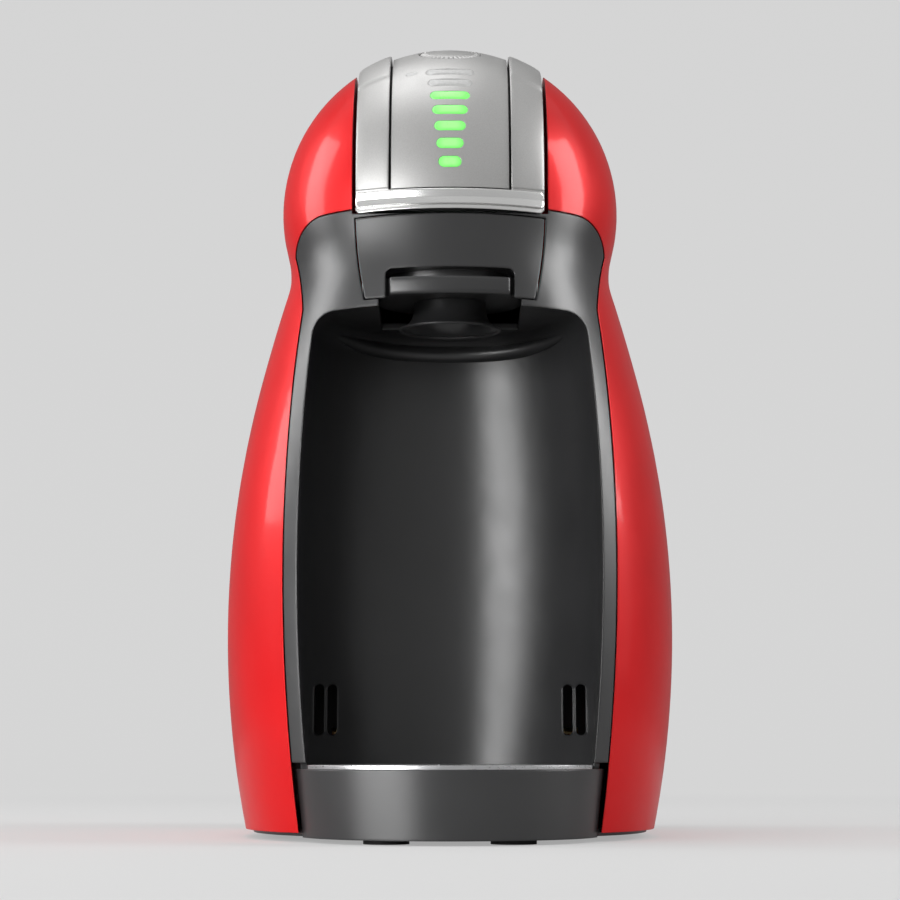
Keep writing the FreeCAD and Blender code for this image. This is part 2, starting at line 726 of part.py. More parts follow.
def crown_cover():
    """Low band over the head, under the handle's arms and the strip, with the wells of the controls."""
    solid = ball_band(BAND_RADIUS, BAND_INNER_RADIUS, LIP_LOW_DEG, CROWN_REAR_DEG, BAND_HALF)
    for tool in control_holes():
        solid = solid.cut(tool)
    posts = []
    for x in (-1.0, 1.0):
        for t in (-1.0, 1.0):
            post = disc(LED_POST_RADIUS, LED_BOARD_DISTANCE, HEAD_RADIUS)
            post.translate(V(x * LED_POST_PLACE[0], t * LED_POST_PLACE[1], 0))
            posts.append(on_head(post, LED_BOARD_DEG).common(head_ball(BAND_INNER_RADIUS + FIT)))
    wells = [on_head(well(DIAL_RADIUS, DIAL_WELL_DEPTH, DIAL_STEM_RADIUS + SLIP), DIAL_DEG)]
    wells.append(on_head(well(BUTTON_RADIUS, BUTTON_WELL_DEPTH, BUTTON_STEM_RADIUS + SLIP), BUTTON_DEG))
    return fuse([solid] + posts + wells).cut(lights(FIT))


def led_board():
    """Small circuit board behind the display."""
    size = (2.0 * LED_BOARD_HALF[0], 2.0 * LED_BOARD_HALF[1])
    return on_head(centred_box(size, LED_BOARD_DISTANCE - BOARD_THICK, LED_BOARD_DISTANCE), LED_BOARD_DEG)


def volume_dial():
    """Round dial in its well, with a grooved edge and a stem to the encoder."""
    low = STRIP_RADIUS - DIAL_WELL_DEPTH + WELL_WALL + FIT
    knob = disc(DIAL_RADIUS, low, HEAD_RADIUS + WALL)
    grooves = []
    for i in range(DIAL_GROOVES):
        turn = 2.0 * math.pi * i / DIAL_GROOVES
        groove = disc(DIAL_GROOVE_RADIUS, low, HEAD_RADIUS + WALL)
        groove.translate(V(DIAL_RADIUS * math.cos(turn), DIAL_RADIUS * math.sin(turn), 0))
        grooves.append(groove)
    stem = disc(DIAL_STEM_RADIUS, low - WELL_WALL - ENCODER_SIZE[2] + FIT, low + FIT)
    knob = fuse([knob.cut(group(grooves)), stem])
    return on_head(knob, DIAL_DEG).common(head_ball(STRIP_RADIUS))


def dial_encoder():
    """Rotary encoder under the dial's well."""
    high = STRIP_RADIUS - DIAL_WELL_DEPTH
    body = centred_box(ENCODER_SIZE[:2], high - ENCODER_SIZE[2], high)
    return on_head(body.cut(disc(DIAL_STEM_RADIUS + SLIP, 0.0, FAR)), DIAL_DEG)


def temperature_slider():
    """Slide knob in its flat pad, with a stem that goes through the crown."""
    low = STRIP_RADIUS - SLIDER_PAD_DROP + FIT
    knob = centred_box(SLIDER_KNOB[:2], low, low + SLIDER_KNOB[2])
    ridge = centred_box((SLIDER_STEM[0] / 2.0, SLIDER_KNOB[1]), low, low + SLIDER_KNOB[2] + SEAM)
    stem = centred_box(SLIDER_STEM, BAND_INNER_RADIUS - SLIDER_SWITCH[2] / 2.0, low + FIT)
    return on_head(fuse([knob, ridge, stem]), SLIDER_DEG)


def slider_switch():
    """Slide switch under the crown, with a slot for the knob's stem."""
    reach = math.hypot(SLIDER_SWITCH[0] / 2.0, SLIDER_SWITCH[1] / 2.0)
    high = math.sqrt((BAND_INNER_RADIUS - FIT) ** 2 - reach * reach)
    body = centred_box(SLIDER_SWITCH[:2], high - SLIDER_SWITCH[2], high)
    slot = (SLIDER_TRAVEL + SLIDER_STEM[0] + 2.0 * FIT, SLIDER_STEM[1] + 2.0 * FIT)
    low = BAND_INNER_RADIUS - SLIDER_SWITCH[2] / 2.0 - FIT
    return on_head(body.cut(centred_box(slot, low, FAR)), SLIDER_DEG)


def button_floor():
    """Height of the button well's floor along the button's axis."""
    return STRIP_RADIUS - BUTTON_WELL_DEPTH + WELL_WALL


def power_button():
    """Round button with a stem that presses the switch."""
    cap = disc(BUTTON_RADIUS, STRIP_RADIUS - BUTTON_CAP_THICK, FAR / 2.0)
    stem = disc(BUTTON_STEM_RADIUS, button_floor() - WELL_WALL - FIT, STRIP_RADIUS - FIT)
    return on_head(fuse([cap, stem]), BUTTON_DEG).common(head_ball(STRIP_RADIUS))


def button_spring():
    """Return spring between the button's cap and the floor of its well."""
    inner = BUTTON_STEM_RADIUS + FIT
    low, high = button_floor(), STRIP_RADIUS - BUTTON_CAP_THICK
    return on_head(disc(inner + SPRING_WIRE, low, high).cut(disc(inner, low, high)), BUTTON_DEG)


def button_switch():
    """Push switch under the button's well."""
    high = button_floor() - WELL_WALL
    body = centred_box(BUTTON_SWITCH[:2], high - BUTTON_SWITCH[2], high)
    room = disc(BUTTON_STEM_RADIUS + FIT, high - BUTTON_TRAVEL - 2.0 * FIT, FAR)
    return on_head(body.cut(room), BUTTON_DEG)


def handle_side():
    """Right-hand half of the locking handle: arm, web, spoke and hub."""
    arm = ball_band(HEAD_RADIUS, HANDLE_INNER_RADIUS, LIP_LOW_DEG, HANDLE_REAR_DEG, ARM_HALF)
    arm = arm.common(box((DISPLAY_HALF + ARM_GAP, ARM_HALF), (-FAR, FAR), (-FAR, FAR)))
    slab = box((WEB_INNER_X, ARM_HALF), (-FAR, FAR), (-FAR, FAR))
    start, end = V(WEB_INNER_X, HEAD_Y, HEAD_Z), V(ARM_HALF, HEAD_Y, HEAD_Z)
    rim_radius = math.sqrt(HANDLE_INNER_RADIUS ** 2 - ARM_HALF ** 2) - WEB_RIM
    web = head_ball(HANDLE_INNER_RADIUS + FIT).common(wedge(LIP_LOW_DEG, HANDLE_REAR_DEG, ARM_HALF))
    web = web.common(slab).cut(rod(start, end, rim_radius))
    spoke = rod(start, end, rim_radius + FIT).common(wedge(SPOKE_LOW_DEG, SPOKE_HIGH_DEG, ARM_HALF))
    hub = rod(V(HUB_INNER_X, HEAD_Y, HEAD_Z), end, HUB_RADIUS)
    side = fuse([arm, web, spoke, hub])
    place = crank_place()
    deep = HUB_INNER_X + CRANK_PIN_REACH
    return side.cut(rod(V(HUB_INNER_X, place.y, place.z), V(deep, place.y, place.z), CRANK_PIN_RADIUS))


def crank_place():
    """Centre of the crank pins with the handle closed."""
    turn = math.radians(CRANK_REST_DEG)
    return HEAD + V(0, -CRANK_RADIUS * math.cos(turn), CRANK_RADIUS * math.sin(turn))


def handle_lip():
    """Bright lip across the front of the handle, where the fingers lift it."""
    return ball_band(HEAD_RADIUS + LIP_PROUD, HEAD_RADIUS, LIP_LOW_DEG, LIP_HIGH_DEG, ARM_HALF)


def crank_pin():
    """Steel pin in the handle's hub that moves the injector."""
    place = crank_place()
    start = V(HUB_INNER_X - CRANK_PIN_REACH, place.y, place.z)
    return rod(start, V(HUB_INNER_X + CRANK_PIN_REACH, place.y, place.z), CRANK_PIN_RADIUS)


def inner_frame():
    """Moulded frame: a spine plate, two cheeks with the handle's bearings, and the drawer's rails."""
    spine_back = SPINE_Y + SPINE_THICK
    spine = box((-SPINE_HALF, SPINE_HALF), (SPINE_Y, spine_back), (FLOOR_TOP_Z, CHEEK_NECK_Z))
    spine = spine.common(envelope(WALL + SEAM))
    inside = envelope(HEAD_RADIUS - BAND_INNER_RADIUS + FIT)
    cheek = box((CHEEK_INNER_X, CHEEK_OUTER_X), (CHEEK_FRONT_Y, spine_back), (CEILING_TOP_Z, FAR))
    cheek = cheek.common(inside)
    cheek = cheek.cut(rod(V(0, HEAD_Y, HEAD_Z), V(FAR, HEAD_Y, HEAD_Z), HUB_RADIUS + SLIP))
    pin = GUIDE_PIN_RADIUS + GUIDE_PIN_SLIP
    low, high = GUIDE_PIN_Z - pin - FIT, GUIDE_PIN_Z + LIFT + pin + FIT
    cheek = cheek.cut(box((0, FAR), (CUP_Y - pin, CUP_Y + pin), (low, high)))
    rail_x = (CUP_RADIUS + SEAM, CHEEK_INNER_X + FIT)
    rail_y = (CHEEK_FRONT_Y, RUNNER_BACK_Y + 2.0 * RAIL_THICK)
    rail_low = box(rail_x, rail_y, (RUNNER_Z - FIT - RAIL_THICK, RUNNER_Z - FIT))
    rail_high = rail_low.translated(V(0, 0, RUNNER_THICK + RAIL_THICK + 2.0 * FIT))
    side = fuse([cheek, rail_low, rail_high])
    solid = fuse([spine] + both_sides(side))
    for x, z in lug_places():
        solid = solid.cut(rod(V(x, 0, z), V(x, FAR, z), SCREW_RADIUS + SLIP))
    return solid


def lug_places():
    """Places of the heater block's two screws in x and z."""
    return [(-BLOCK_LUG_X, BLOCK_Z[0] + BLOCK_LUG_X), (BLOCK_LUG_X, BLOCK_Z[1] - BLOCK_LUG_X)]


def carriage_inlet(low, high, radius):
    """Upright round bar on the axis of the injector's inlet."""
    return rod(V(INLET_X, INLET_Y, low), V(INLET_X, INLET_Y, high), radius)


def injector_carriage():
    """Block that carries the needle. Two arms reach back to the crank pins."""
    levels = (CARRIAGE_LOW_Z, CARRIAGE_HIGH_Z)
    front, back = CUP_Y - CARRIAGE_LENGTH / 2.0, CUP_Y + CARRIAGE_LENGTH / 2.0
    pieces = [box((-CARRIAGE_HALF, CARRIAGE_HALF), (front, back), levels)]
    arm = box((CARRIAGE_ARM_INNER, CARRIAGE_ARM_OUTER), (back - WALL, CARRIAGE_ARM_BACK_Y), levels)
    pieces += both_sides(arm)
    pieces.append(carriage_inlet(CARRIAGE_HIGH_Z - FIT, CARRIAGE_HIGH_Z + INLET_HEIGHT, INLET_RADIUS))
    solid = fuse(pieces)
    room = CRANK_PIN_RADIUS + CRANK_SLOT_GAP
    place = crank_place()
    slot_y = (HEAD_Y - CRANK_RADIUS - room, place.y + room)
    solid = solid.cut(box((-FAR, FAR), slot_y, (place.z - room, place.z + room)).common(
        box((-CARRIAGE_ARM_OUTER, CARRIAGE_ARM_OUTER), (back, FAR), levels)))
    middle = (CARRIAGE_LOW_Z + CARRIAGE_HIGH_Z) / 2.0
    solid = solid.cut(carriage_inlet(middle - TUBE_BORE, FAR, TUBE_BORE))
    solid = solid.cut(rod(V(INLET_X, INLET_Y, middle), V(0, CUP_Y, middle), TUBE_BORE))
    solid = solid.cut(rod(V(0, CUP_Y, CARRIAGE_LOW_Z), V(0, CUP_Y, middle), NEEDLE_RADIUS))
    for pin in both_sides(guide_pin()):
        solid = solid.cut(pin)
    return solid


def guide_pin():
    """Steel pin beside the carriage that runs in the cheek's upright slot."""
    inner = CARRIAGE_HALF - GUIDE_PIN_RADIUS * 2.0
    return rod(V(inner, CUP_Y, GUIDE_PIN_Z), V(CHEEK_OUTER_X, CUP_Y, GUIDE_PIN_Z), GUIDE_PIN_RADIUS)


def injector_needle():
    """Hollow steel needle that opens the capsule, cut to a point."""
    low = CUP_RIM_Z + NEEDLE_GAP
    middle = (CARRIAGE_LOW_Z + CARRIAGE_HIGH_Z) / 2.0
    shaft = rod(V(0, CUP_Y, low + 2.0 * NEEDLE_RADIUS), V(0, CUP_Y, middle), NEEDLE_RADIUS)
    tip = Part.makeCone(NEEDLE_RADIUS / 2.0, NEEDLE_RADIUS, 2.0 * NEEDLE_RADIUS, V(0, CUP_Y, low))
    return fuse([shaft, tip]).cut(rod(V(0, CUP_Y, 0), V(0, CUP_Y, FAR), NEEDLE_RADIUS / 3.0))


def injector_seal():
    """Rubber disc round the needle that presses on the capsule."""
    low = CARRIAGE_LOW_Z - INJECTOR_SEAL_THICK
    return pipe(V(0, CUP_Y, low), V(0, CUP_Y, CARRIAGE_LOW_Z), INJECTOR_SEAL_RADIUS, NEEDLE_RADIUS)


def drawer_front():
    """Black chin of the drawer, with a recess for the fingers."""
    skin = BODY.cut(envelope(DRAWER_WALL)).common(drawer_prism(0.0))
    recess = box((-RECESS_HALF, RECESS_HALF), (-FAR, FAR), (0, RECESS_TOP_Z))
    corner = [e for e in recess.Edges if abs(abs(e.CenterOfMass.x) - RECESS_HALF) < FIT
              and abs(e.CenterOfMass.z - RECESS_TOP_Z) < FIT]
    return skin.cut(recess.makeFillet(WALL, corner))


def drawer_grip():
    """Bar across the recess, held at both ends by the chin."""
    ends = RECESS_HALF + DRAWER_WALL
    skin = envelope(DRAWER_WALL - GRIP_THICK).cut(envelope(DRAWER_WALL))
    bar = skin.common(box((-GRIP_HALF, GRIP_HALF), (-FAR, CHEEK_FRONT_Y), (GRIP_LOW_Z, GRIP_HIGH_Z)))
    back = envelope(DRAWER_WALL).cut(envelope(DRAWER_WALL + WALL))
    strap = back.common(box((-ends, ends), (-FAR, CHEEK_FRONT_Y), (GRIP_LOW_Z, GRIP_HIGH_Z)))
    return fuse([bar, strap])


def capsule_cup():
    """Cup for the capsule, with side runners and a block that joins it to the chin."""
    axis = V(0, CUP_Y, 0)
    cup = rod(axis + V(0, 0, CUP_LOW_Z), axis + V(0, 0, CUP_RIM_Z), CUP_RADIUS)
    runner_y = (RUNNER_FRONT_Y, RUNNER_BACK_Y)
    runner = box((0, RUNNER_REACH), runner_y, (RUNNER_Z, RUNNER_Z + RUNNER_THICK))
    block = box((-CUP_RADIUS, CUP_RADIUS), (-FAR, CUP_Y), (RECESS_TOP_Z + FIT, CUP_RIM_Z - WALL))
    pieces = [cup, block.common(envelope(DRAWER_WALL + FIT))]
    pieces += both_sides(runner)
    solid = fuse(pieces)
    inside = rod(axis + V(0, 0, CUP_LOW_Z + CUP_FLOOR_THICK), axis + V(0, 0, FAR), CUP_RADIUS - CUP_WALL)
    return solid.cut(inside).cut(rod(axis, axis + V(0, 0, FAR), CUP_HOLE_RADIUS))


def splash_skirt():
    """Bell under the cup that keeps the jet from splashing."""
    outer = [(SKIRT_NECK_RADIUS, CUP_LOW_Z), (SKIRT_WAIST_RADIUS, SKIRT_WAIST_Z)]
    outer.append((SKIRT_RIM_RADIUS, SKIRT_LOW_Z))
    inner = [(r - SKIRT_WALL, z) for r, z in reversed(outer)]
    points = [V(r, CUP_Y, z) for r, z in outer + inner]
    face = Part.Face(Part.makePolygon(points + points[:1]))
    return face.revolve(V(0, CUP_Y, 0), V(0, 0, 1), 360.0)


def tray_front(half_low, half_high, front_y, back_y, low, high):
    """Block with a round front, wider at the top than at the foot."""
    wires = []
    for half, z in ((half_low, low), (half_high, high)):
        left, right = V(-half, back_y, z), V(half, back_y, z)
        arc = Part.Arc(left, V(0, front_y, z), right).toShape()
        wires.append(Part.Wire([arc, Part.LineSegment(right, left).toShape()]))
    return Part.makeLoft(wires, True, True)


def tray_rear(gap, low, high):
    """Rear part of the tray, a little smaller than the cavity it slides into."""
    outline = half_oval(seam_half(low) - STRIP_WIDTH - gap, CAVITY_DEPTH - gap, low)
    solid = Part.Face(outline).extrude(V(0, 0, high - low))
    return solid.common(box((-FAR, FAR), (TRAY_SIDE_Y - 2.0 * TRAY_WALL, FAR), (-FAR, FAR)))


def drip_tray():
    """Tray with a round front wall, a basin, and two hooks at the back."""
    wall = TRAY_WALL
    floor_top = TRAY_FLOOR_Z + TRAY_FLOOR_THICK
    front = tray_front(TRAY_HALF_LOW, TRAY_HALF_TOP, TRAY_FRONT_Y, TRAY_SIDE_Y, TRAY_LOW_Z, TRAY_RIM_Z)
    outer = fuse([front, tray_rear(TRAY_GAP, TRAY_FLOOR_Z, TRAY_RIM_Z)])
    under = tray_front(TRAY_HALF_LOW - wall, TRAY_HALF_TOP - wall, TRAY_FRONT_Y + wall,
                       TRAY_SIDE_Y, TRAY_LOW_Z, TRAY_RIM_Z)
    basin = tray_front(TRAY_HALF_LOW - wall, TRAY_HALF_TOP - wall, TRAY_FRONT_Y + wall,
                       TRAY_SIDE_Y - wall, TRAY_LOW_Z, TRAY_RIM_Z)
    rear = tray_rear(TRAY_GAP + wall, TRAY_FLOOR_Z, TRAY_RIM_Z)
    basin = fuse([basin, rear]).common(box((-FAR, FAR), (-FAR, FAR), (floor_top, FAR)))
    under = under.common(box((-FAR, FAR), (-FAR, FAR), (-FAR, TRAY_FLOOR_Z)))
    solid = outer.cut(under).cut(basin)
    place = tray_wall_y(HOOK_SLOT_INNER_X)
    hook = box((HOOK_SLOT_INNER_X - HOOK_WIDTH / 2.0, HOOK_SLOT_INNER_X + HOOK_WIDTH / 2.0),
               (place - wall, place + HOOK_REACH), (HOOK_LOW_Z, HOOK_HIGH_Z))
    return fuse([solid] + both_sides(hook))


def tray_wall_y(x):
    """Y of the tray's rear wall at x."""
    half = seam_half(TRAY_FLOOR_Z) - STRIP_WIDTH - TRAY_GAP
    return CAVITY_Y + (CAVITY_DEPTH - TRAY_GAP) * math.sqrt(1.0 - (x / half) ** 2)


def drip_grate():
    """Steel plate over the tray, with rows of slots for spills."""
    front = tray_front(TRAY_HALF_TOP, TRAY_HALF_TOP, TRAY_FRONT_Y, TRAY_SIDE_Y, TRAY_RIM_Z, GRATE_TOP_Z)
    plate = fuse([front, tray_rear(TRAY_GAP, TRAY_RIM_Z, GRATE_TOP_Z)])
    half = seam_half(TRAY_RIM_Z) - STRIP_WIDTH - TRAY_GAP
    plate = plate.common(box((-half, half), (-FAR, FAR), (-FAR, FAR)))
    y = TRAY_FRONT_Y + GRATE_BORDER
    slots = []
    while y < CAVITY_Y + CAVITY_DEPTH - GRATE_BORDER:
        room = CAVITY_Y + CAVITY_DEPTH - y if y > CAVITY_Y else y - TRAY_FRONT_Y
        reach = CAVITY_DEPTH if y > CAVITY_Y else CAVITY_Y - TRAY_FRONT_Y
        along = 1.0 - room / reach
        half_slot = seam_half(TRAY_FLOOR_Z) - STRIP_WIDTH
        half_slot = half_slot * math.sqrt(max(1.0 - along * along, 0.0)) - GRATE_BORDER
        if half_slot > 2.0 * GRATE_SLOT_WIDTH:
            slot = pill(half_slot - GRATE_SLOT_WIDTH, GRATE_SLOT_WIDTH, 0.0, GRATE_TOP_Z + WALL)
            centre = (half_slot + GRATE_SLOT_WIDTH) / 2.0
            slots += [slot.translated(V(x, y, 0)) for x in (-centre, centre)]
        y += GRATE_SLOT_PITCH
    return plate.cut(group(slots))


def base_frame():
    """Floor of the machine with the plinth under the tank and the tongue under the tray."""
    floor = envelope(WALL + FIT).common(
        box((-FAR, FAR), (TRAY_SIDE_Y + TRAY_GAP, FAR), (FLOOR_LOW_Z, FLOOR_TOP_Z)))
    plinth = BODY.common(box((-FAR, FAR), (REAR_Y + SEAM, FAR), (BODY_BOTTOM_Z, PLINTH_TOP_Z)))
    hollow = envelope(PLINTH_WALL).common(
        box((-FAR, FAR), (-FAR, FAR), (FLOOR_TOP_Z, PLINTH_TOP_Z - PLINTH_WALL)))
    depth = TRAY_SIDE_Y - TRAY_FRONT_Y
    arc_radius = (TRAY_HALF_LOW ** 2 + depth ** 2) / (2.0 * depth)
    arc_y = TRAY_FRONT_Y + arc_radius
    tongue = rod(V(0, arc_y, FLOOR_LOW_Z), V(0, arc_y, FLOOR_TOP_Z), arc_radius - TRAY_WALL - 2.0 * TRAY_GAP)
    tongue = tongue.common(box((-TONGUE_HALF, TONGUE_HALF), (-FAR, CAVITY_Y), (-FAR, FAR)))
    solid = fuse([floor, plinth.cut(hollow), tongue])
    solid = solid.cut(coupling_room(coupling_radius() + SLIP, PLINTH_TOP_Z - 2.0 * PLINTH_WALL, FAR))
    for foot in feet():
        solid = solid.cut(foot)
    for x, y in BOSS_PLACES:
        hole = rod(V(x, y, 0), V(x, y, FAR), SCREW_RADIUS + SLIP)
        sink = rod(V(x, y, 0), V(x, y, FLOOR_LOW_Z + SCREW_HEAD_THICK), SCREW_HEAD_RADIUS + SLIP)
        for tool in both_sides(fuse([hole, sink])):
            solid = solid.cut(tool)
    start, end = gland_span()
    return solid.cut(rod(start, end, GLAND_RADIUS))


def coupling_room(radius, low, high):
    """Upright round bar on the axis of the tank's outlet."""
    return rod(V(0, OUTLET_Y, low), V(0, OUTLET_Y, high), radius)


def coupling_radius():
    """Outer radius of the coupling socket."""
    return STUB_RADIUS + COUPLING_GAP + COUPLING_WALL


def feet():
    """Four rubber feet, sunk a little into the base."""
    places = [(side * x, y) for x, y in (FRONT_FOOT, REAR_FOOT) for side in (-1.0, 1.0)]
    return [rod(V(x, y, 0), V(x, y, FLOOR_LOW_Z + FOOT_SINK), FOOT_RADIUS) for x, y in places]


def base_screws():
    """Screws from below, through the base into the shells' bosses."""
    screws = []
    for x, y in BOSS_PLACES:
        head_top = FLOOR_LOW_Z + SCREW_HEAD_THICK
        head = rod(V(x, y, FLOOR_LOW_Z), V(x, y, head_top), SCREW_HEAD_RADIUS)
        shank = rod(V(x, y, FLOOR_LOW_Z), V(x, y, head_top + SCREW_LENGTH), SCREW_RADIUS)
        screws += both_sides(fuse([head, shank]))
    return group(screws)


def frame_screws():
    """Screws that hold the heater block to the spine."""
    screws = []
    face = SPINE_Y + SPINE_THICK
    for x, z in lug_places():
        head = rod(V(x, face, z), V(x, face + SCREW_HEAD_THICK, z), SCREW_HEAD_RADIUS)
        shank = rod(V(x, face - SCREW_LENGTH, z), V(x, face, z), SCREW_RADIUS)
        screws.append(fuse([head, shank]))
    return group(screws)


def gland_span():
    """Inner and outer end of the cord gland's axis in the plinth's back wall."""
    z = (FLOOR_TOP_Z + PLINTH_TOP_Z - PLINTH_WALL) / 2.0
    outer = back_at(GLAND_X, z) + GLAND_FLANGE
    return V(GLAND_X, outer - GLAND_LENGTH, z), V(GLAND_X, outer, z)


def cord_gland():
    """Rubber bush in the plinth's back wall for the supply cord."""
    start, end = gland_span()
    return pipe(start, end, GLAND_RADIUS - SLIP, GLAND_BORE)


def hinge_place():
    """Axis of the lid's hinge, behind the tank's rim."""
    return V(0, oval(TANK_TOP_Z, 0.0)[2] + HINGE_OUT, TANK_TOP_Z)


def water_tank():
    """Clear tank behind the body, with an outlet stub below and hinge lugs behind."""
    outer = BODY.common(box((-FAR, FAR), (TANK_FRONT_Y, FAR), (TANK_LOW_Z, TANK_TOP_Z)))
    inner = envelope(TANK_WALL).common(
        box((-FAR, FAR), (TANK_FRONT_Y + TANK_WALL, FAR), (TANK_FLOOR_TOP_Z, FAR)))
    stub = coupling_room(STUB_RADIUS, STUB_LOW_Z, TANK_FLOOR_TOP_Z)
    solid = fuse([outer.cut(inner), stub]).cut(coupling_room(STUB_BORE, STUB_LOW_Z, TANK_FLOOR_TOP_Z))
    bridge = box((-STUB_BORE - FIT, STUB_BORE + FIT), (OUTLET_Y - BRIDGE_HALF, OUTLET_Y + BRIDGE_HALF),
                 (TANK_LOW_Z, TANK_FLOOR_TOP_Z))
    hinge = hinge_place()
    inner_x = KNUCKLE_HALF + FIT
    lug = rod(V(inner_x, hinge.y, hinge.z), V(inner_x + LUG_THICK, hinge.y, hinge.z), HINGE_RADIUS)
    web = box((inner_x, inner_x + LUG_THICK), (hinge.y - HINGE_OUT - TANK_WALL, hinge.y + HINGE_RADIUS),
              (hinge.z - 2.0 * HINGE_RADIUS, hinge.z)).cut(envelope(TANK_WALL / 2.0))
    side = fuse([lug, web]).common(box((0, FAR), (-FAR, FAR), (-FAR, hinge.z + HINGE_RADIUS)))
    solid = fuse([solid, bridge] + both_sides(side))
    solid = solid.cut(coupling_room(VALVE_STEM_RADIUS + SLIP, 0.0, TANK_FLOOR_TOP_Z))
    return solid.cut(hinge_rod(HINGE_PIN_RADIUS + SLIP))


def hinge_rod(radius):
    """Round bar on the lid's hinge axis, as long as the hinge."""
    hinge = hinge_place()
    half = KNUCKLE_HALF + FIT + LUG_THICK
    return rod(hinge - V(half, 0, 0), hinge + V(half, 0, 0), radius)


def tank_lid():
    """Domed lid over the tank, with a hinge knuckle behind."""
    low = TANK_TOP_Z + LID_SEAM
    room = box((-FAR, FAR), (TANK_FRONT_Y, FAR), (low, FAR))
    front = box((-FAR, FAR), (TANK_FRONT_Y, TANK_FRONT_Y + TANK_WALL), (low, FAR))
    shell = BODY.cut(envelope(TANK_WALL)).common(room)
    hinge = hinge_place()
    knuckle = rod(V(-KNUCKLE_HALF, hinge.y, hinge.z), V(KNUCKLE_HALF, hinge.y, hinge.z), HINGE_RADIUS)
    tab = box((-KNUCKLE_HALF, KNUCKLE_HALF), (hinge.y - HINGE_OUT - TANK_WALL, hinge.y),
              (low, hinge.z + HINGE_RADIUS)).cut(envelope(TANK_WALL / 2.0))
    solid = fuse([shell, BODY.common(front), knuckle, tab])
    return solid.cut(hinge_rod(HINGE_PIN_RADIUS + SLIP))


def tank_valve():
    """Valve that the coupling holds open while the tank is in place."""
    low = STUB_LOW_Z + FIT
    head = coupling_room(VALVE_HEAD_RADIUS, low, low + VALVE_HEAD_THICK)
    return fuse([head, coupling_room(VALVE_STEM_RADIUS, low, VALVE_STEM_TOP_Z)])


def valve_spring():
    """Spring that closes the tank's valve when the tank is lifted."""
    low, high = STUB_LOW_Z + FIT + VALVE_HEAD_THICK, TANK_LOW_Z
    inner = VALVE_STEM_RADIUS + FIT
    return coupling_room(inner + SPRING_WIRE, low, high).cut(coupling_room(inner, low, high))


def tank_coupling():
    """Socket in the plinth that takes the tank's stub, with a pusher pin and a hose nozzle."""
    radius = coupling_radius()
    solid = coupling_room(radius, FLOOR_TOP_Z, PLINTH_TOP_Z)
    solid = solid.cut(coupling_room(STUB_RADIUS + COUPLING_GAP, FLOOR_TOP_Z + COUPLING_FLOOR, FAR))
    pusher = coupling_room(PUSHER_RADIUS, FLOOR_TOP_Z, STUB_LOW_Z)
    mouth = V(0, OUTLET_Y - radius - 2.0 * COUPLING_WALL, HOSE_Z)
    nozzle = rod(mouth, V(0, OUTLET_Y - radius + COUPLING_WALL / 2.0, HOSE_Z), HOSE_RADIUS)
    solid = fuse([solid, pusher, nozzle])
    solid = solid.cut(rod(mouth, V(0, OUTLET_Y - STUB_RADIUS, HOSE_Z), HOSE_BORE))
    return solid.cut(coupling_seal())


def coupling_seal():
    """Rubber ring in the socket's wall, round the tank's stub."""
    centre = V(0, OUTLET_Y, RING_Z)
    return Part.makeTorus(STUB_RADIUS + RING_GAP + RING_RADIUS, RING_RADIUS, centre)


def bent_tube(points, bend, radius, bore):
    """Hose along straight runs joined by round bends."""
    edges = []
    start = points[0]
    for before, corner, after in zip(points, points[1:], points[2:]):
        back, ahead = (before - corner).normalize(), (after - corner).normalize()
        half = back.getAngle(ahead) / 2.0
        trim = bend / math.tan(half)
        inward = (back + ahead).normalize()
        middle = corner + inward * (bend / math.sin(half) - bend)
        edges.append(Part.LineSegment(start, corner + back * trim).toShape())
        edges.append(Part.Arc(corner + back * trim, middle, corner + ahead * trim).toShape())
        start = corner + ahead * trim
    edges.append(Part.LineSegment(start, points[-1]).toShape())
    path = Part.Wire(edges)
    solids = []
    for size in (radius, bore):
        ring = Part.Wire(Part.makeCircle(size, points[0], points[1] - points[0]))
        solids.append(path.makePipeShell([ring], True, False))
    return solids[0].cut(solids[1])


def flow_meter():
    """Small flow meter on the floor, with a nozzle on each side."""
    x, y = FLOW_METER
    reach = FLOW_METER_RADIUS + HOSE_RADIUS
    body = rod(V(x, y, FLOOR_TOP_Z), V(x, y, FLOOR_TOP_Z + FLOW_METER_HEIGHT), FLOW_METER_RADIUS)
    nozzles = rod(V(x - reach, y, HOSE_Z), V(x + reach, y, HOSE_Z), HOSE_RADIUS)
    return fuse([body, nozzles]).cut(rod(V(x - reach, y, HOSE_Z), V(x + reach, y, HOSE_Z), HOSE_BORE))


def suction_hose():
    """Hose from the tank's coupling to the flow meter."""
    x, y = FLOW_METER
    start = V(0, OUTLET_Y - coupling_radius() - 2.0 * COUPLING_WALL, HOSE_Z)
    end = V(x + FLOW_METER_RADIUS + HOSE_RADIUS, y, HOSE_Z)
    return bent_tube([start, V(0, y, HOSE_Z), end], HOSE_BEND, HOSE_RADIUS, HOSE_BORE)


def feed_hose():
    """Hose from the flow meter to the pump's inlet."""
    x, y = FLOW_METER
    start = V(x - FLOW_METER_RADIUS - HOSE_RADIUS, y, HOSE_Z)
    points = [start, V(FEED_SIDE_X, y, HOSE_Z), V(FEED_SIDE_X, PUMP_Y, HOSE_Z)]
    points += [V(FEED_SIDE_X, PUMP_Y, PUMP_Z), V(PUMP_INLET_X, PUMP_Y, PUMP_Z)]
    return bent_tube(points, HOSE_BEND, HOSE_RADIUS, HOSE_BORE)


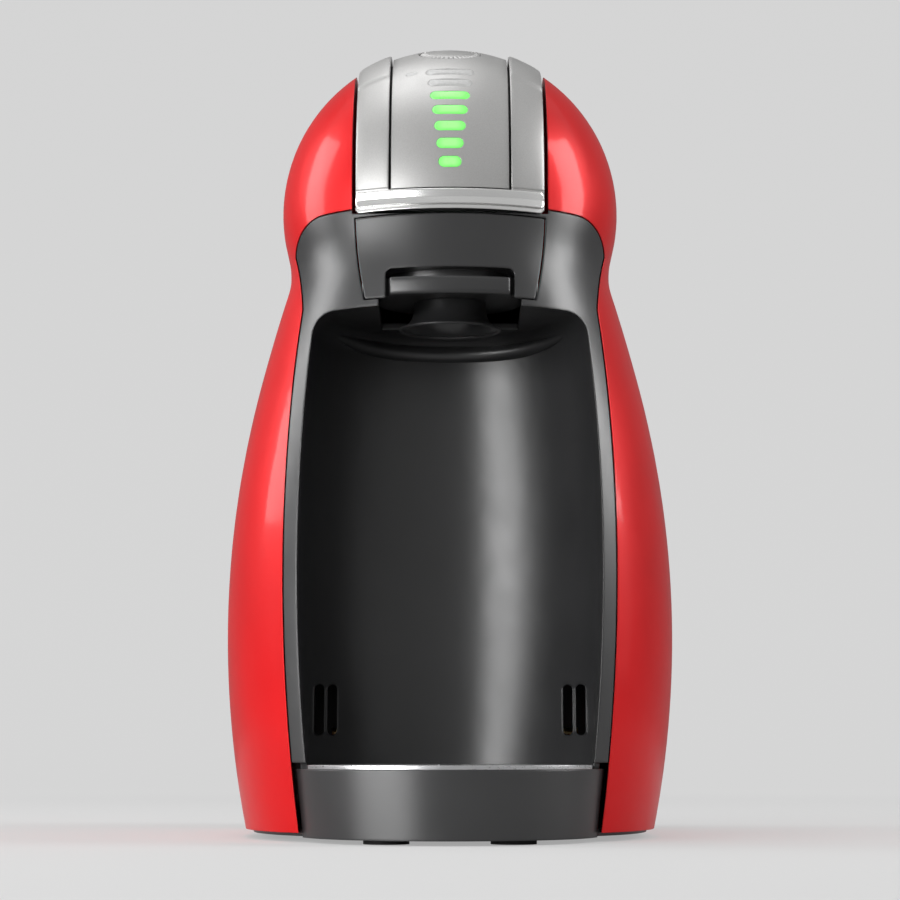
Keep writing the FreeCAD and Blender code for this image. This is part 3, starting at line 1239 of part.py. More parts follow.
def pressure_tube():
    """Tube from the pump's outlet up to the heater block."""
    points = [V(PUMP_OUTLET_X, PUMP_Y, PUMP_Z), V(PRESSURE_SIDE_X, PUMP_Y, PUMP_Z)]
    points += [V(PRESSURE_SIDE_X, PUMP_Y, PRESSURE_RUN_Z), V(BLOCK_PORT_X, PUMP_Y, PRESSURE_RUN_Z)]
    points.append(V(BLOCK_PORT_X, PUMP_Y, BLOCK_Z[0] - BLOCK_PORT_HEIGHT))
    return bent_tube(points, TUBE_BEND, TUBE_RADIUS, TUBE_BORE)


def delivery_tube():
    """Flexible tube from the heater block over to the injector."""
    points = [V(INLET_X, PUMP_Y, BLOCK_Z[1] + BLOCK_PORT_HEIGHT), V(INLET_X, PUMP_Y, DELIVERY_TOP_Z)]
    points += [V(INLET_X, INLET_Y, DELIVERY_TOP_Z), V(INLET_X, INLET_Y, CARRIAGE_HIGH_Z + INLET_HEIGHT)]
    return bent_tube(points, TUBE_BEND, TUBE_RADIUS, TUBE_BORE)


def pump_core():
    """Pump tube through the coil, with the inlet at one end and the outlet at the other."""
    start, end = V(PUMP_INLET_X, PUMP_Y, PUMP_Z), V(PUMP_OUTLET_X, PUMP_Y, PUMP_Z)
    return pipe(start, end, PUMP_CORE_RADIUS, TUBE_BORE)


def pump_coil():
    """Coil block round the pump tube, in a steel yoke of two end plates."""
    x, half = PUMP_COIL_X, [size / 2.0 for size in PUMP_COIL]
    coil = box((x - half[0], x + half[0]), (PUMP_Y - half[1] + WALL, PUMP_Y + half[1] - WALL),
               (PUMP_Z - half[2] + WALL, PUMP_Z + half[2] - WALL))
    plates = [box((end - WALL / 2.0, end + WALL / 2.0), (PUMP_Y - half[1], PUMP_Y + half[1]),
                  (PUMP_Z - half[2], PUMP_Z + half[2])) for end in (x - half[0], x + half[0])]
    return fuse([coil] + plates).cut(rod(V(-FAR, PUMP_Y, PUMP_Z), V(FAR, PUMP_Y, PUMP_Z), PUMP_CORE_RADIUS))


def pump_mounts():
    """Two rubber saddles that carry the pump."""
    mounts = []
    hole = rod(V(-FAR, PUMP_Y, PUMP_Z), V(FAR, PUMP_Y, PUMP_Z), PUMP_CORE_RADIUS)
    for x in PUMP_MOUNT_X:
        mount = box((x, x + PUMP_MOUNT_THICK), (PUMP_Y - PUMP_MOUNT_HALF_Y, PUMP_Y + PUMP_MOUNT_HALF_Y),
                    (FLOOR_TOP_Z, PUMP_Z + PUMP_MOUNT_HALF_Y))
        mounts.append(mount.cut(hole))
    return group(mounts)


def thermoblock():
    """Cast heater block with cooling ribs, two ports and two screw lugs."""
    block = box((-BLOCK_HALF_X, BLOCK_HALF_X), BLOCK_Y, BLOCK_Z)
    pitch = (BLOCK_Z[1] - BLOCK_Z[0]) / BLOCK_RIBS
    for i in range(BLOCK_RIBS):
        z = BLOCK_Z[0] + pitch * (i + 0.5)
        groove = box((-FAR, FAR), (BLOCK_Y[0] - WALL, BLOCK_Y[0] + WALL), (z - pitch / 4.0, z + pitch / 4.0))
        block = block.cut(groove)
    low, high = BLOCK_Z[0] - BLOCK_PORT_HEIGHT, BLOCK_Z[1] + BLOCK_PORT_HEIGHT
    ports = []
    for x, start, end in ((BLOCK_PORT_X, low, BLOCK_Z[0] + WALL), (INLET_X, BLOCK_Z[1] - WALL, high)):
        ports.append(rod(V(x, PUMP_Y, start), V(x, PUMP_Y, end), BLOCK_PORT_RADIUS))
    lugs = [rod(V(x, BLOCK_Y[1] - WALL, z), V(x, SPINE_Y, z), BLOCK_LUG_RADIUS) for x, z in lug_places()]
    solid = fuse([block] + ports + lugs)
    deep = SPINE_Y + SPINE_THICK - SCREW_LENGTH - FIT
    for x, z in lug_places():
        solid = solid.cut(rod(V(x, deep, z), V(x, SPINE_Y, z), SCREW_RADIUS + SLIP))
    return solid


def heater_terminals():
    """Two flat terminals on top of the heater block."""
    blades = []
    for y in (BLOCK_Y[0] + TERMINAL_INSET, BLOCK_Y[1] - TERMINAL_INSET):
        blade = centred_box(TERMINAL[:2], BLOCK_Z[1], BLOCK_Z[1] + TERMINAL[2])
        blades.append(blade.translated(V(BLOCK_PORT_X, y, 0)))
    return group(blades)


def thermostats():
    """Two round thermostats on the side of the heater block."""
    discs = []
    y, middle = sum(BLOCK_Y) / 2.0, sum(BLOCK_Z) / 2.0
    for z in (middle - THERMOSTAT_SPACING / 2.0, middle + THERMOSTAT_SPACING / 2.0):
        discs.append(rod(V(BLOCK_HALF_X, y, z), V(BLOCK_HALF_X + THERMOSTAT_THICK, y, z), THERMOSTAT_RADIUS))
    return group(discs)


def board_back_y():
    """Y of the control board's rear face, at the ends of its posts."""
    return REAR_Y - REAR_COVER_THICK - BOARD_POST_LENGTH


def control_board():
    """Main circuit board in front of the rear cover."""
    half, back = CONTROL_BOARD[0] / 2.0, board_back_y()
    return box((-half, half), (back - BOARD_THICK, back),
               (CONTROL_BOARD_LOW_Z, CONTROL_BOARD_LOW_Z + CONTROL_BOARD[1]))


def board_parts():
    """Relay, capacitors and connectors on the control board."""
    face, low = board_back_y() - BOARD_THICK, CONTROL_BOARD_LOW_Z
    blocks = [(RELAY_SIZE, RELAY_PLACE), (CHOKE_SIZE, CHOKE_PLACE)]
    blocks += [(PLUG_SIZE, place) for place in PLUG_PLACES]
    parts = []
    for (width, height, deep), (x, up) in blocks:
        levels = (low + up - height / 2.0, low + up + height / 2.0)
        parts.append(box((x - width / 2.0, x + width / 2.0), (face - deep, face), levels))
    for x, up in CAN_PLACES:
        parts.append(rod(V(x, face, low + up), V(x, face - CAN_HEIGHT, low + up), CAN_RADIUS))
    return group(parts)


def nodes():
    """Every piece of the machine by name."""
    bars = [light_bar(i, 0.0) for i in range(BAR_COUNT)]
    shell = side_shell()
    return {
        "base_frame": base_frame(),
        "rubber_feet": group(feet()),
        "right_side_shell": shell,
        "left_side_shell": mirrored(shell),
        "front_fascia": front_fascia(),
        "rear_cover": rear_cover(),
        "nape_cover": nape_cover(),
        "crown_cover": crown_cover(),
        "display_panel": display_panel(),
        "lit_bars": group(bars[:BAR_LIT_COUNT]),
        "unlit_bars": group(bars[BAR_LIT_COUNT:]),
        "descale_lamp": lamp(0.0),
        "led_board": led_board(),
        "inner_frame": inner_frame(),
        "pump_coil": pump_coil(),
        "pump_core": pump_core(),
        "pump_mounts": pump_mounts(),
        "thermoblock": thermoblock(),
        "heater_terminals": heater_terminals(),
        "thermostats": thermostats(),
        "flow_meter": flow_meter(),
        "suction_hose": suction_hose(),
        "feed_hose": feed_hose(),
        "pressure_tube": pressure_tube(),
        "delivery_tube": delivery_tube(),
        "control_board": control_board(),
        "board_parts": board_parts(),
        "dial_encoder": dial_encoder(),
        "slider_switch": slider_switch(),
        "button_switch": button_switch(),
        "tank_coupling": tank_coupling(),
        "coupling_seal": coupling_seal(),
        "cord_gland": cord_gland(),
        "base_screws": base_screws(),
        "frame_screws": frame_screws(),
        "locking_handle": group(both_sides(handle_side())),
        "handle_lip": handle_lip(),
        "crank_pins": group(both_sides(crank_pin())),
        "injector_carriage": injector_carriage(),
        "injector_needle": injector_needle(),
        "injector_seal": injector_seal(),
        "guide_pins": group(both_sides(guide_pin())),
        "drawer_front": drawer_front(),
        "drawer_grip": drawer_grip(),
        "capsule_cup": capsule_cup(),
        "splash_skirt": splash_skirt(),
        "drip_tray": drip_tray(),
        "drip_grate": drip_grate(),
        "water_tank": water_tank(),
        "lid_hinge_pin": hinge_rod(HINGE_PIN_RADIUS),
        "tank_lid": tank_lid(),
        "tank_valve": tank_valve(),
        "valve_spring": valve_spring(),
        "volume_dial": volume_dial(),
        "temperature_slider": temperature_slider(),
        "power_button": power_button(),
        "button_spring": button_spring(),
    }


def main():
    """Builds every piece and writes one file for each."""
    os.makedirs("parts", exist_ok=True)
    for name, shape in nodes().items():
        shape.exportStep("parts/%s.step" % name)
        print(name, len(shape.Solids), "solids", round(shape.Volume), "mm3", shape.isValid())


main()
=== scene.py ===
import json
import math

import bpy
import numpy as np
from bpy.props import FloatProperty, FloatVectorProperty, IntProperty, PointerProperty
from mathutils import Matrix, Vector


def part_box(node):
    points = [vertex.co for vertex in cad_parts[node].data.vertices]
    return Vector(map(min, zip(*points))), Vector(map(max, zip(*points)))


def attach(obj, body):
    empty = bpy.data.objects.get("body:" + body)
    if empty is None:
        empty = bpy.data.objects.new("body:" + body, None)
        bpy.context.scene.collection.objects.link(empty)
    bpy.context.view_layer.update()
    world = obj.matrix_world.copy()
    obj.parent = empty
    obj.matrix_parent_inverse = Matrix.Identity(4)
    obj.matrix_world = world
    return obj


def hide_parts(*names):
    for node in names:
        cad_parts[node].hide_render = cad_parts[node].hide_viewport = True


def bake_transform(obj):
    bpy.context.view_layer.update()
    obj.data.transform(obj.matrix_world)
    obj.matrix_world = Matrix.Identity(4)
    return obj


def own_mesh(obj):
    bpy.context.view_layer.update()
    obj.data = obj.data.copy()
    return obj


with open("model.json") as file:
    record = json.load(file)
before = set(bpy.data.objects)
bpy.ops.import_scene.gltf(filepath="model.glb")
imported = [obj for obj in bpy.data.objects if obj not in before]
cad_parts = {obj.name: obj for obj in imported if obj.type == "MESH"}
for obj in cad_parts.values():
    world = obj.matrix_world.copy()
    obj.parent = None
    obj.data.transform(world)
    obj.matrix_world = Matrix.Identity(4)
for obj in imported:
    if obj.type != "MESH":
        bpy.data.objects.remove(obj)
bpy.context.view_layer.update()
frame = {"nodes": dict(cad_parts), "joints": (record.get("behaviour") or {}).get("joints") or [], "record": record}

bl_info = {
    "name": "Pod coffee machine",
    "version": (1, 0, 0),
    "blender": (4, 5, 0),
    "location": "View3D > Sidebar > Coffee machine",
    "description": "Finishes and fine pieces of a pod coffee machine on its packed frame",
    "category": "Object",
}

JOINTS = {joint["name"]: joint for joint in frame["joints"]}
HEAD = np.array(JOINTS["handle_lift"]["pos_m"], float)
DIAL_AXIS = np.array(JOINTS["dial_turn"]["axis"], float)
BUTTON_AXIS = -np.array(JOINTS["button_press"]["axis"], float)
ACROSS = np.array([1.0, 0.0, 0.0])
UP = np.array([0.0, 0.0, 1.0])
MM = 0.001
WHITE = (1.0, 1.0, 1.0, 1.0)

# Name of the material of each slot, which the paint operator fills in.
FINISH_NAMES = {}
# Part of a noise's range over which a colour or a roughness drifts.
NOISE_SPAN = (0.3, 0.7)
# Colour in the middle of a lit bar.
PALE_GLOW = (0.36, 1.0, 0.28)

# Light bars: play in the window, depth into the window, and share of the outline at the innermost ring.
BAR_PLAY = 0.1 * MM
BAR_DEPTH = 1.5 * MM
BAR_INNER = 0.12
# Lip: length of its rounded ends, room over the chin, and share of its stand by which its back lies in.
LIP_END = 1.4 * MM
LIP_ROOM = 0.3 * MM
LIP_BACK = 0.15
# Share of the way down the lip's face, and how far the face stands out there as a share of its full stand.
LIP_DOWN = (0.0, 0.02, 0.05, 0.10, 0.42, 0.45, 0.70, 0.73, 0.75, 0.78, 0.80, 0.95, 0.98, 1.0)
LIP_OUT = (0.0, 0.34, 0.44, 0.48, 0.50, 0.53, 0.94, 0.96, 0.86, 0.30, 0.62, 0.74, 0.70, 0.0)
# Arm skins: gap to the lip, length of the rounded ends, run of the step, and narrowing of the ends.
ARM_GAP = 0.5 * MM
ARM_END = 0.7 * MM
ARM_STEP_RUN = math.radians(1.8)
ARM_NARROW = 0.04
# Slots: places in X, and room between a slot and its bead.
SLOT_PLACES = (-47.9 * MM, -43.5 * MM, 43.5 * MM, 47.9 * MM)
SLOT_ROOM = 0.4 * MM
# Step over which the slope of the cup space's wall is measured.
WALL_STEP = 0.05 * MM
# Rise of the brow from its middle to its ends.
BROW_RISE = 5.0 * MM
# Power of the skirt's flare.
SKIRT_FLARE = 3.2
# Dial: round of its rim, depth below the strip, and radius of the innermost ring.
DIAL_ROUND = 0.9 * MM
DIAL_DEPTH = 7.5 * MM
DIAL_HUB = 1.0 * MM
# Ribs: share of the dial's radius at which they start, share over which they rise, and share of their
# depth by which they dent the top.
RIB_START = 0.72
RIB_RUN = 0.2
RIB_DENT = 0.5
# Button: round of its rim, depth below the strip, and radius of the innermost ring.
BUTTON_ROUND = 0.6 * MM
BUTTON_DEPTH = 3.9 * MM
BUTTON_HUB = 0.5 * MM
# Grip: run of the step at each end, and thickness of the strap behind it.
GRIP_STEP_RUN = 0.9 * MM
GRIP_STRAP = 2.0 * MM

# Floor sheet in metres: reach to the front and the sides, start and radius of the bend behind, and top.
FLOOR_REACH = 8.0
FLOOR_BACK = 1.2
FLOOR_BEND = 0.8
FLOOR_TOP = 3.0
# Heights in the room, from 0 at eye level to 1 overhead, between which it brightens.
ROOM_SPAN = (0.05, 0.75)
# Name, place, size and power in watts of each soft light, and the point that all are turned to.
LIGHTS = (
    ("left_softbox", (-1.05, -0.95, 0.24), (1.1, 0.48), 15.0),
    ("top_softbox", (-0.3, 0.1, 1.6), (0.9, 0.9), 6.0),
    ("right_side_light", (1.5, 0.0, 0.8), (0.6, 0.9), 12.5),
    ("left_side_light", (-1.5, 0.35, 0.8), (0.6, 0.9), 9.0),
)
LIGHT_AIM = (0.0, 0.0, 0.16)
SENSOR_WIDTH = 36.0


class MachineColours(bpy.types.PropertyGroup):
    """Colours of the machine's finishes."""

    red: FloatVectorProperty(
        name="Red shells", description="Colour of the glossy side shells",
        subtype="COLOR", default=(0.78, 0.006, 0.009))
    black: FloatVectorProperty(
        name="Black covers", description="Colour of the satin black plastic",
        subtype="COLOR", default=(0.026, 0.026, 0.027))
    silver: FloatVectorProperty(
        name="Silver paint", description="Colour of the satin silver handle and display",
        subtype="COLOR", default=(0.50, 0.497, 0.49))
    plate: FloatVectorProperty(
        name="Bright plate", description="Colour of the plated lip",
        subtype="COLOR", default=(0.86, 0.86, 0.85))
    steel: FloatVectorProperty(
        name="Steel", description="Colour of the brushed grate",
        subtype="COLOR", default=(0.62, 0.62, 0.63))
    glow: FloatVectorProperty(
        name="Lit bars", description="Colour of the light from the lit bars",
        subtype="COLOR", default=(0.22, 1.0, 0.18))
    lens: FloatVectorProperty(
        name="Unlit bars", description="Colour of the frosted bars that are off",
        subtype="COLOR", default=(0.60, 0.60, 0.595))
    tank: FloatVectorProperty(
        name="Tank", description="Tint of the clear water tank",
        subtype="COLOR", default=(0.46, 0.49, 0.52))
    floor: FloatVectorProperty(
        name="Floor", description="Colour of the pale floor",
        subtype="COLOR", default=(0.36, 0.36, 0.36))


class MachineSizes(bpy.types.PropertyGroup):
    """Sizes of the fine pieces that are made here."""

    strip_radius: FloatProperty(
        name="Strip radius", description="Radius of the display strip about the head's centre",
        unit="LENGTH", default=62.9 * MM)
    bar_count: IntProperty(
        name="Light bars", description="Number of bars on the display",
        default=7)
    lit_count: IntProperty(
        name="Lit bars", description="Number of bars that are lit, from below",
        default=5)
    bar_first_angle: FloatProperty(
        name="First bar", description="Angle of the lowest bar above the head's front",
        unit="ROTATION", default=math.radians(6.4))
    bar_step_angle: FloatProperty(
        name="Bar step", description="Angle from one bar to the next",
        unit="ROTATION", default=math.radians(6.55))
    bar_first_width: FloatProperty(
        name="First width", description="Width of the lowest bar",
        unit="LENGTH", default=8.3 * MM)
    bar_width_step: FloatProperty(
        name="Width step", description="Growth in width from bar to bar",
        unit="LENGTH", default=1.55 * MM)
    bar_height: FloatProperty(
        name="Bar height", description="Height of a bar",
        unit="LENGTH", default=4.2 * MM)
    bar_crown: FloatProperty(
        name="Bar crown", description="How far the middle of a bar stands proud",
        unit="LENGTH", default=0.35 * MM)
    lip_inner: FloatProperty(
        name="Lip inner radius", description="Radius of the lip's back",
        unit="LENGTH", default=63.5 * MM)
    lip_proud: FloatProperty(
        name="Lip proud", description="Thickness of the lip",
        unit="LENGTH", default=2.8 * MM)
    lip_low: FloatProperty(
        name="Lip low edge", description="Angle of the lip's lower edge",
        unit="ROTATION", default=math.radians(-9.8))
    lip_high: FloatProperty(
        name="Lip high edge", description="Angle of the lip's upper edge",
        unit="ROTATION", default=math.radians(-2.6))
    arm_inner: FloatProperty(
        name="Arm inner edge", description="Distance of an arm's inner edge from the middle",
        unit="LENGTH", default=22.04 * MM)
    arm_outer: FloatProperty(
        name="Arm outer edge", description="Distance of an arm's outer edge from the middle",
        unit="LENGTH", default=34.06 * MM)
    arm_face: FloatProperty(
        name="Arm face", description="Radius of an arm's face about the head's centre",
        unit="LENGTH", default=63.95 * MM)
    arm_thick: FloatProperty(
        name="Arm skin", description="Thickness of an arm's skin",
        unit="LENGTH", default=1.6 * MM)
    arm_step: FloatProperty(
        name="Arm step", description="Rise of an arm's face at the step near the crown",
        unit="LENGTH", default=0.8 * MM)
    arm_step_angle: FloatProperty(
        name="Arm step angle", description="Angle of the step above the head's front",
        unit="ROTATION", default=math.radians(46.0))
    arm_rear: FloatProperty(
        name="Arm rear end", description="Angle of an arm's rear end above the head's front",
        unit="ROTATION", default=math.radians(99.8))
    seam_half: FloatProperty(
        name="Front half width", description="Half width of the black front where it is widest",
        unit="LENGTH", default=59.4 * MM)
    seam_level: FloatProperty(
        name="Front widest level", description="Height at which the black front is widest",
        unit="LENGTH", default=100.0 * MM)
    seam_bow: FloatProperty(
        name="Front bow", description="Radius of the bow of the black front's sides",
        unit="LENGTH", default=719.0 * MM)
    strip_width: FloatProperty(
        name="Strip width", description="Width of the strip beside the cup space",
        unit="LENGTH", default=5.0 * MM)
    wall_front: FloatProperty(
        name="Wall front", description="Place in Y where the cup space's round wall starts",
        unit="LENGTH", default=-78.0 * MM)
    wall_depth: FloatProperty(
        name="Wall depth", description="Depth of the cup space's round wall",
        unit="LENGTH", default=52.0 * MM)
    slot_width: FloatProperty(
        name="Slot width", description="Width of an upright slot in the wall",
        unit="LENGTH", default=3.4 * MM)
    slot_low: FloatProperty(
        name="Slot low end", description="Height of a slot's low end",
        unit="LENGTH", default=37.6 * MM)
    slot_high: FloatProperty(
        name="Slot high end", description="Height of a slot's high end",
        unit="LENGTH", default=56.2 * MM)
    slot_rim: FloatProperty(
        name="Slot rim", description="Radius of the bead round a slot",
        unit="LENGTH", default=0.3 * MM)
    brow_level: FloatProperty(
        name="Brow level", description="Height of the rounded brow over the cup space's wall",
        unit="LENGTH", default=183.0 * MM)
    brow_half: FloatProperty(
        name="Brow half width", description="Half width of the brow",
        unit="LENGTH", default=47.0 * MM)
    brow_radius: FloatProperty(
        name="Brow radius", description="Radius of the brow's bead",
        unit="LENGTH", default=3.2 * MM)
    skirt_neck: FloatProperty(
        name="Skirt neck", description="Radius at the skirt's neck",
        unit="LENGTH", default=13.2 * MM)
    skirt_rim: FloatProperty(
        name="Skirt rim", description="Radius at the skirt's rim",
        unit="LENGTH", default=18.8 * MM)
    skirt_wall: FloatProperty(
        name="Skirt wall", description="Thickness of the skirt",
        unit="LENGTH", default=1.6 * MM)
    dial_radius: FloatProperty(
        name="Dial radius", description="Radius of the volume dial",
        unit="LENGTH", default=11.3 * MM)
    dial_ribs: IntProperty(
        name="Dial ribs", description="Number of ribs round the dial",
        default=36)
    dial_rib_depth: FloatProperty(
        name="Rib depth", description="Depth of the grooves between the ribs",
        unit="LENGTH", default=0.55 * MM)
    button_radius: FloatProperty(
        name="Button radius", description="Radius of the power button",
        unit="LENGTH", default=6.5 * MM)
    button_dish: FloatProperty(
        name="Button dish", description="Depth of the hollow in the power button",
        unit="LENGTH", default=0.7 * MM)
    grip_half: FloatProperty(
        name="Grip half width", description="Half width of the drawer's grip bar",
        unit="LENGTH", default=21.4 * MM)
    grip_step: FloatProperty(
        name="Grip step", description="How far the strap at each end lies behind the bar's face",
        unit="LENGTH", default=3.2 * MM)
    grip_bow: FloatProperty(
        name="Grip bow", description="Radius of the grip's bow in plan",
        unit="LENGTH", default=67.0 * MM)
    spring_wire: FloatProperty(
        name="Spring wire", description="Radius of the wire of a coil spring",
        unit="LENGTH", default=0.33 * MM)
    spring_turns: IntProperty(
        name="Spring turns", description="Number of turns of a coil spring",
        default=4)
    button_spring_foot: FloatProperty(
        name="Button spring foot", description="Distance of the spring's foot below the strip",
        unit="LENGTH", default=7.2 * MM)
    button_spring_top: FloatProperty(
        name="Button spring top", description="Distance of the spring's top below the strip",
        unit="LENGTH", default=4.0 * MM)
    button_spring_radius: FloatProperty(
        name="Button spring radius", description="Outer radius of the button's spring",
        unit="LENGTH", default=2.5 * MM)
    hose_shoulder: FloatProperty(
        name="Hose shoulder", description="Height at which the delivery hose starts to bend over",
        unit="LENGTH", default=241.0 * MM)


class StageSizes(bpy.types.PropertyGroup):
    """Camera, room and floor."""

    camera_distance: FloatProperty(
        name="Camera distance", description="Distance of the camera in front of the origin",
        unit="LENGTH", default=0.987)
    camera_height: FloatProperty(
        name="Camera height", description="Height of the camera above the floor",
        unit="LENGTH", default=0.0327)
    aim_height: FloatProperty(
        name="Aim height", description="Height on the machine's front that is in the picture's middle",
        unit="LENGTH", default=0.1492)
    lens: FloatProperty(
        name="Lens", description="Focal length in millimetres on a 36 mm sensor",
        subtype="DISTANCE_CAMERA", default=101.2)
    ambient: FloatProperty(
        name="Room light", description="Strength of the even light from all sides",
        default=0.4)
    pale_low: FloatProperty(
        name="Pale room", description="Brightness of the room at eye level, where it is seen",
        default=0.67)
    pale_high: FloatProperty(
        name="Pale ceiling", description="Brightness of the room overhead, where it is seen",
        default=0.85)
    floor_lift: FloatProperty(
        name="Floor lift", description="Brightness that is added to the floor where it is seen",
        default=0.36)
    far_lift: FloatProperty(
        name="Far floor lift", description="Brightness that is added to the floor far from the machine",
        default=0.64)
    far_shade: FloatProperty(
        name="Far floor shade", description="Share of the floor's colour that is left far from the machine",
        subtype="FACTOR", min=0.0, max=1.0, default=0.12)
    mirrored: FloatProperty(
        name="Mirrored room", description="Share of the pale room's brightness that shows in reflections",
        subtype="FACTOR", min=0.0, max=1.0, default=0.25)
    near_radius: FloatProperty(
        name="Near floor", description="Distance from the middle at which the floor starts to change",
        unit="LENGTH", default=0.42)
    far_radius: FloatProperty(
        name="Far floor", description="Distance from the middle at which the floor has changed",
        unit="LENGTH", default=1.0)


def colours():
    """The machine's colours."""
    return bpy.context.scene.machine_colours


def sizes():
    """The sizes of the fine pieces."""
    return bpy.context.scene.machine_sizes


# Finishes

def new_finish(name, colour, roughness, metallic=0.0):
    """Material with a Principled shader, and its node tree and shader."""
    material = bpy.data.materials.new(name)
    material.use_nodes = True
    tree = material.node_tree
    shader = tree.nodes["Principled BSDF"]
    shader.inputs["Base Color"].default_value = (*colour, 1.0)
    shader.inputs["Roughness"].default_value = roughness
    shader.inputs["Metallic"].default_value = metallic
    return material, tree, shader


def cloud(tree, scale, detail=2.0, stretch=(1.0, 1.0, 1.0)):
    """Noise on Object coordinates, drawn out along an axis by a small stretch value there."""
    place = tree.nodes.new("ShaderNodeTexCoord")
    mapping = tree.nodes.new("ShaderNodeMapping")
    mapping.inputs["Scale"].default_value = stretch
    noise = tree.nodes.new("ShaderNodeTexNoise")
    noise.inputs["Scale"].default_value = scale
    noise.inputs["Detail"].default_value = detail
    tree.links.new(place.outputs["Object"], mapping.inputs["Vector"])
    tree.links.new(mapping.outputs["Vector"], noise.inputs["Vector"])
    return noise.outputs["Fac"]


def ramped(tree, fac, shades, places=(0.0, 1.0)):
    """Colour that goes from one shade to another as a value goes from one place to another."""
    ramp = tree.nodes.new("ShaderNodeValToRGB")
    for stop, colour, place in zip(ramp.color_ramp.elements, shades, places):
        stop.position = place
        stop.color = (*colour, 1.0)
    tree.links.new(fac, ramp.inputs["Fac"])
    return ramp.outputs["Color"]


def ranged(tree, value, source, target, kind="LINEAR"):
    """Value that is carried over from one range to another."""
    span = tree.nodes.new("ShaderNodeMapRange")
    span.interpolation_type = kind
    for name, number in zip(("From Min", "From Max", "To Min", "To Max"), (*source, *target)):
        span.inputs[name].default_value = number
    tree.links.new(value, span.inputs["Value"])
    return span.outputs["Result"]


def maths(tree, operation, first, second):
    """Result of an operation on a socket and a second socket or number."""
    node = tree.nodes.new("ShaderNodeMath")
    node.operation = operation
    tree.links.new(first, node.inputs[0])
    if isinstance(second, float):
        node.inputs[1].default_value = second
    else:
        tree.links.new(second, node.inputs[1])
    return node.outputs["Value"]


def vary_colour(tree, shader, fac, dark, light):
    """Base colour that drifts between two shades with a noise."""
    colour = ramped(tree, fac, (dark, light), NOISE_SPAN)
    tree.links.new(colour, shader.inputs["Base Color"])


def vary_roughness(tree, shader, fac, low, high):
    """Roughness that drifts between two values with a noise."""
    roughness = ranged(tree, fac, NOISE_SPAN, (low, high))
    tree.links.new(roughness, shader.inputs["Roughness"])


def emboss(tree, shader, fac, strength, depth):
    """Small relief from a noise, depth in metres."""
    bump = tree.nodes.new("ShaderNodeBump")
    bump.inputs["Strength"].default_value = strength
    bump.inputs["Distance"].default_value = depth
    tree.links.new(fac, bump.inputs["Height"])
    tree.links.new(bump.outputs["Normal"], shader.inputs["Normal"])
    return bump


def soften_edges(tree, bump, radius):
    """Rounds the look of sharp moulded edges under the relief."""
    edge = tree.nodes.new("ShaderNodeBevel")
    edge.samples = 4
    edge.inputs["Radius"].default_value = radius
    tree.links.new(edge.outputs["Normal"], bump.inputs["Normal"])


def shade(colour, factor):
    """The same colour, darker or lighter."""
    return tuple(min(channel * factor, 1.0) for channel in colour)


def red_gloss():
    """Glossy red plastic: a thin clear layer over a deep red with a slight metal sheen."""
    red = colours().red[:]
    material, tree, shader = new_finish("red_gloss", red, roughness=0.36, metallic=0.25)
    shader.inputs["Specular IOR Level"].default_value = 0.2
    shader.inputs["Coat Weight"].default_value = 0.3
    shader.inputs["Coat Roughness"].default_value = 0.1
    vary_colour(tree, shader, cloud(tree, scale=14.0), shade(red, 0.92), shade(red, 1.06))
    vary_roughness(tree, shader, cloud(tree, scale=60.0), low=0.33, high=0.40)
    relief = emboss(tree, shader, cloud(tree, scale=700.0), strength=0.02, depth=0.2 * MM)
    soften_edges(tree, relief, radius=0.7 * MM)
    return material


def black_satin():
    """Black plastic with a fine moulded grain."""
    black = colours().black[:]
    material, tree, shader = new_finish("black_satin", black, roughness=0.33)
    shader.inputs["Specular IOR Level"].default_value = 0.8
    vary_colour(tree, shader, cloud(tree, scale=25.0), shade(black, 0.85), shade(black, 1.15))
    vary_roughness(tree, shader, cloud(tree, scale=90.0), low=0.315, high=0.345)
    relief = emboss(tree, shader, cloud(tree, scale=2600.0, detail=3.0), strength=0.12, depth=0.1 * MM)
    soften_edges(tree, relief, radius=1.0 * MM)
    return material


def silver_satin():
    """Satin silver paint with fine metal flakes."""
    silver = colours().silver[:]
    material, tree, shader = new_finish("silver_satin", silver, roughness=0.42, metallic=0.5)
    flakes = cloud(tree, scale=3200.0, detail=1.0)
    vary_colour(tree, shader, flakes, shade(silver, 0.94), shade(silver, 1.06))
    vary_roughness(tree, shader, cloud(tree, scale=120.0), low=0.38, high=0.45)
    relief = emboss(tree, shader, cloud(tree, scale=4200.0, detail=1.0), strength=0.05, depth=0.05 * MM)
    soften_edges(tree, relief, radius=0.5 * MM)
    return material


def bright_plate():
    """Bright plating with faint wipe marks."""
    material, tree, shader = new_finish("bright_plate", colours().plate[:], roughness=0.25, metallic=1.0)
    marks = cloud(tree, scale=40.0, stretch=(0.25, 1.0, 1.0))
    vary_roughness(tree, shader, marks, low=0.24, high=0.27)
    return material


def lit_bar():
    """Lit light guide: the glow is pale in the middle and deeper at the rim."""
    glow = colours().glow[:]
    material, tree, shader = new_finish("lit_bar", shade(glow, 0.5), roughness=0.3)
    reach = tree.nodes.new("ShaderNodeAttribute")
    reach.attribute_name = "glow"
    light = ramped(tree, reach.outputs["Fac"], (shade(glow, 0.62), PALE_GLOW), (0.0, 0.55))
    tree.links.new(light, shader.inputs["Emission Color"])
    shader.inputs["Emission Strength"].default_value = 0.9
    vary_roughness(tree, shader, cloud(tree, scale=400.0), low=0.25, high=0.35)
    return material


def unlit_bar():
    """Frosted light guide that is off."""
    lens = colours().lens[:]
    material, tree, shader = new_finish("unlit_bar", lens, roughness=0.42)
    vary_colour(tree, shader, cloud(tree, scale=900.0), shade(lens, 0.94), shade(lens, 1.06))
    emboss(tree, shader, cloud(tree, scale=3000.0), strength=0.1, depth=0.05 * MM)
    return material


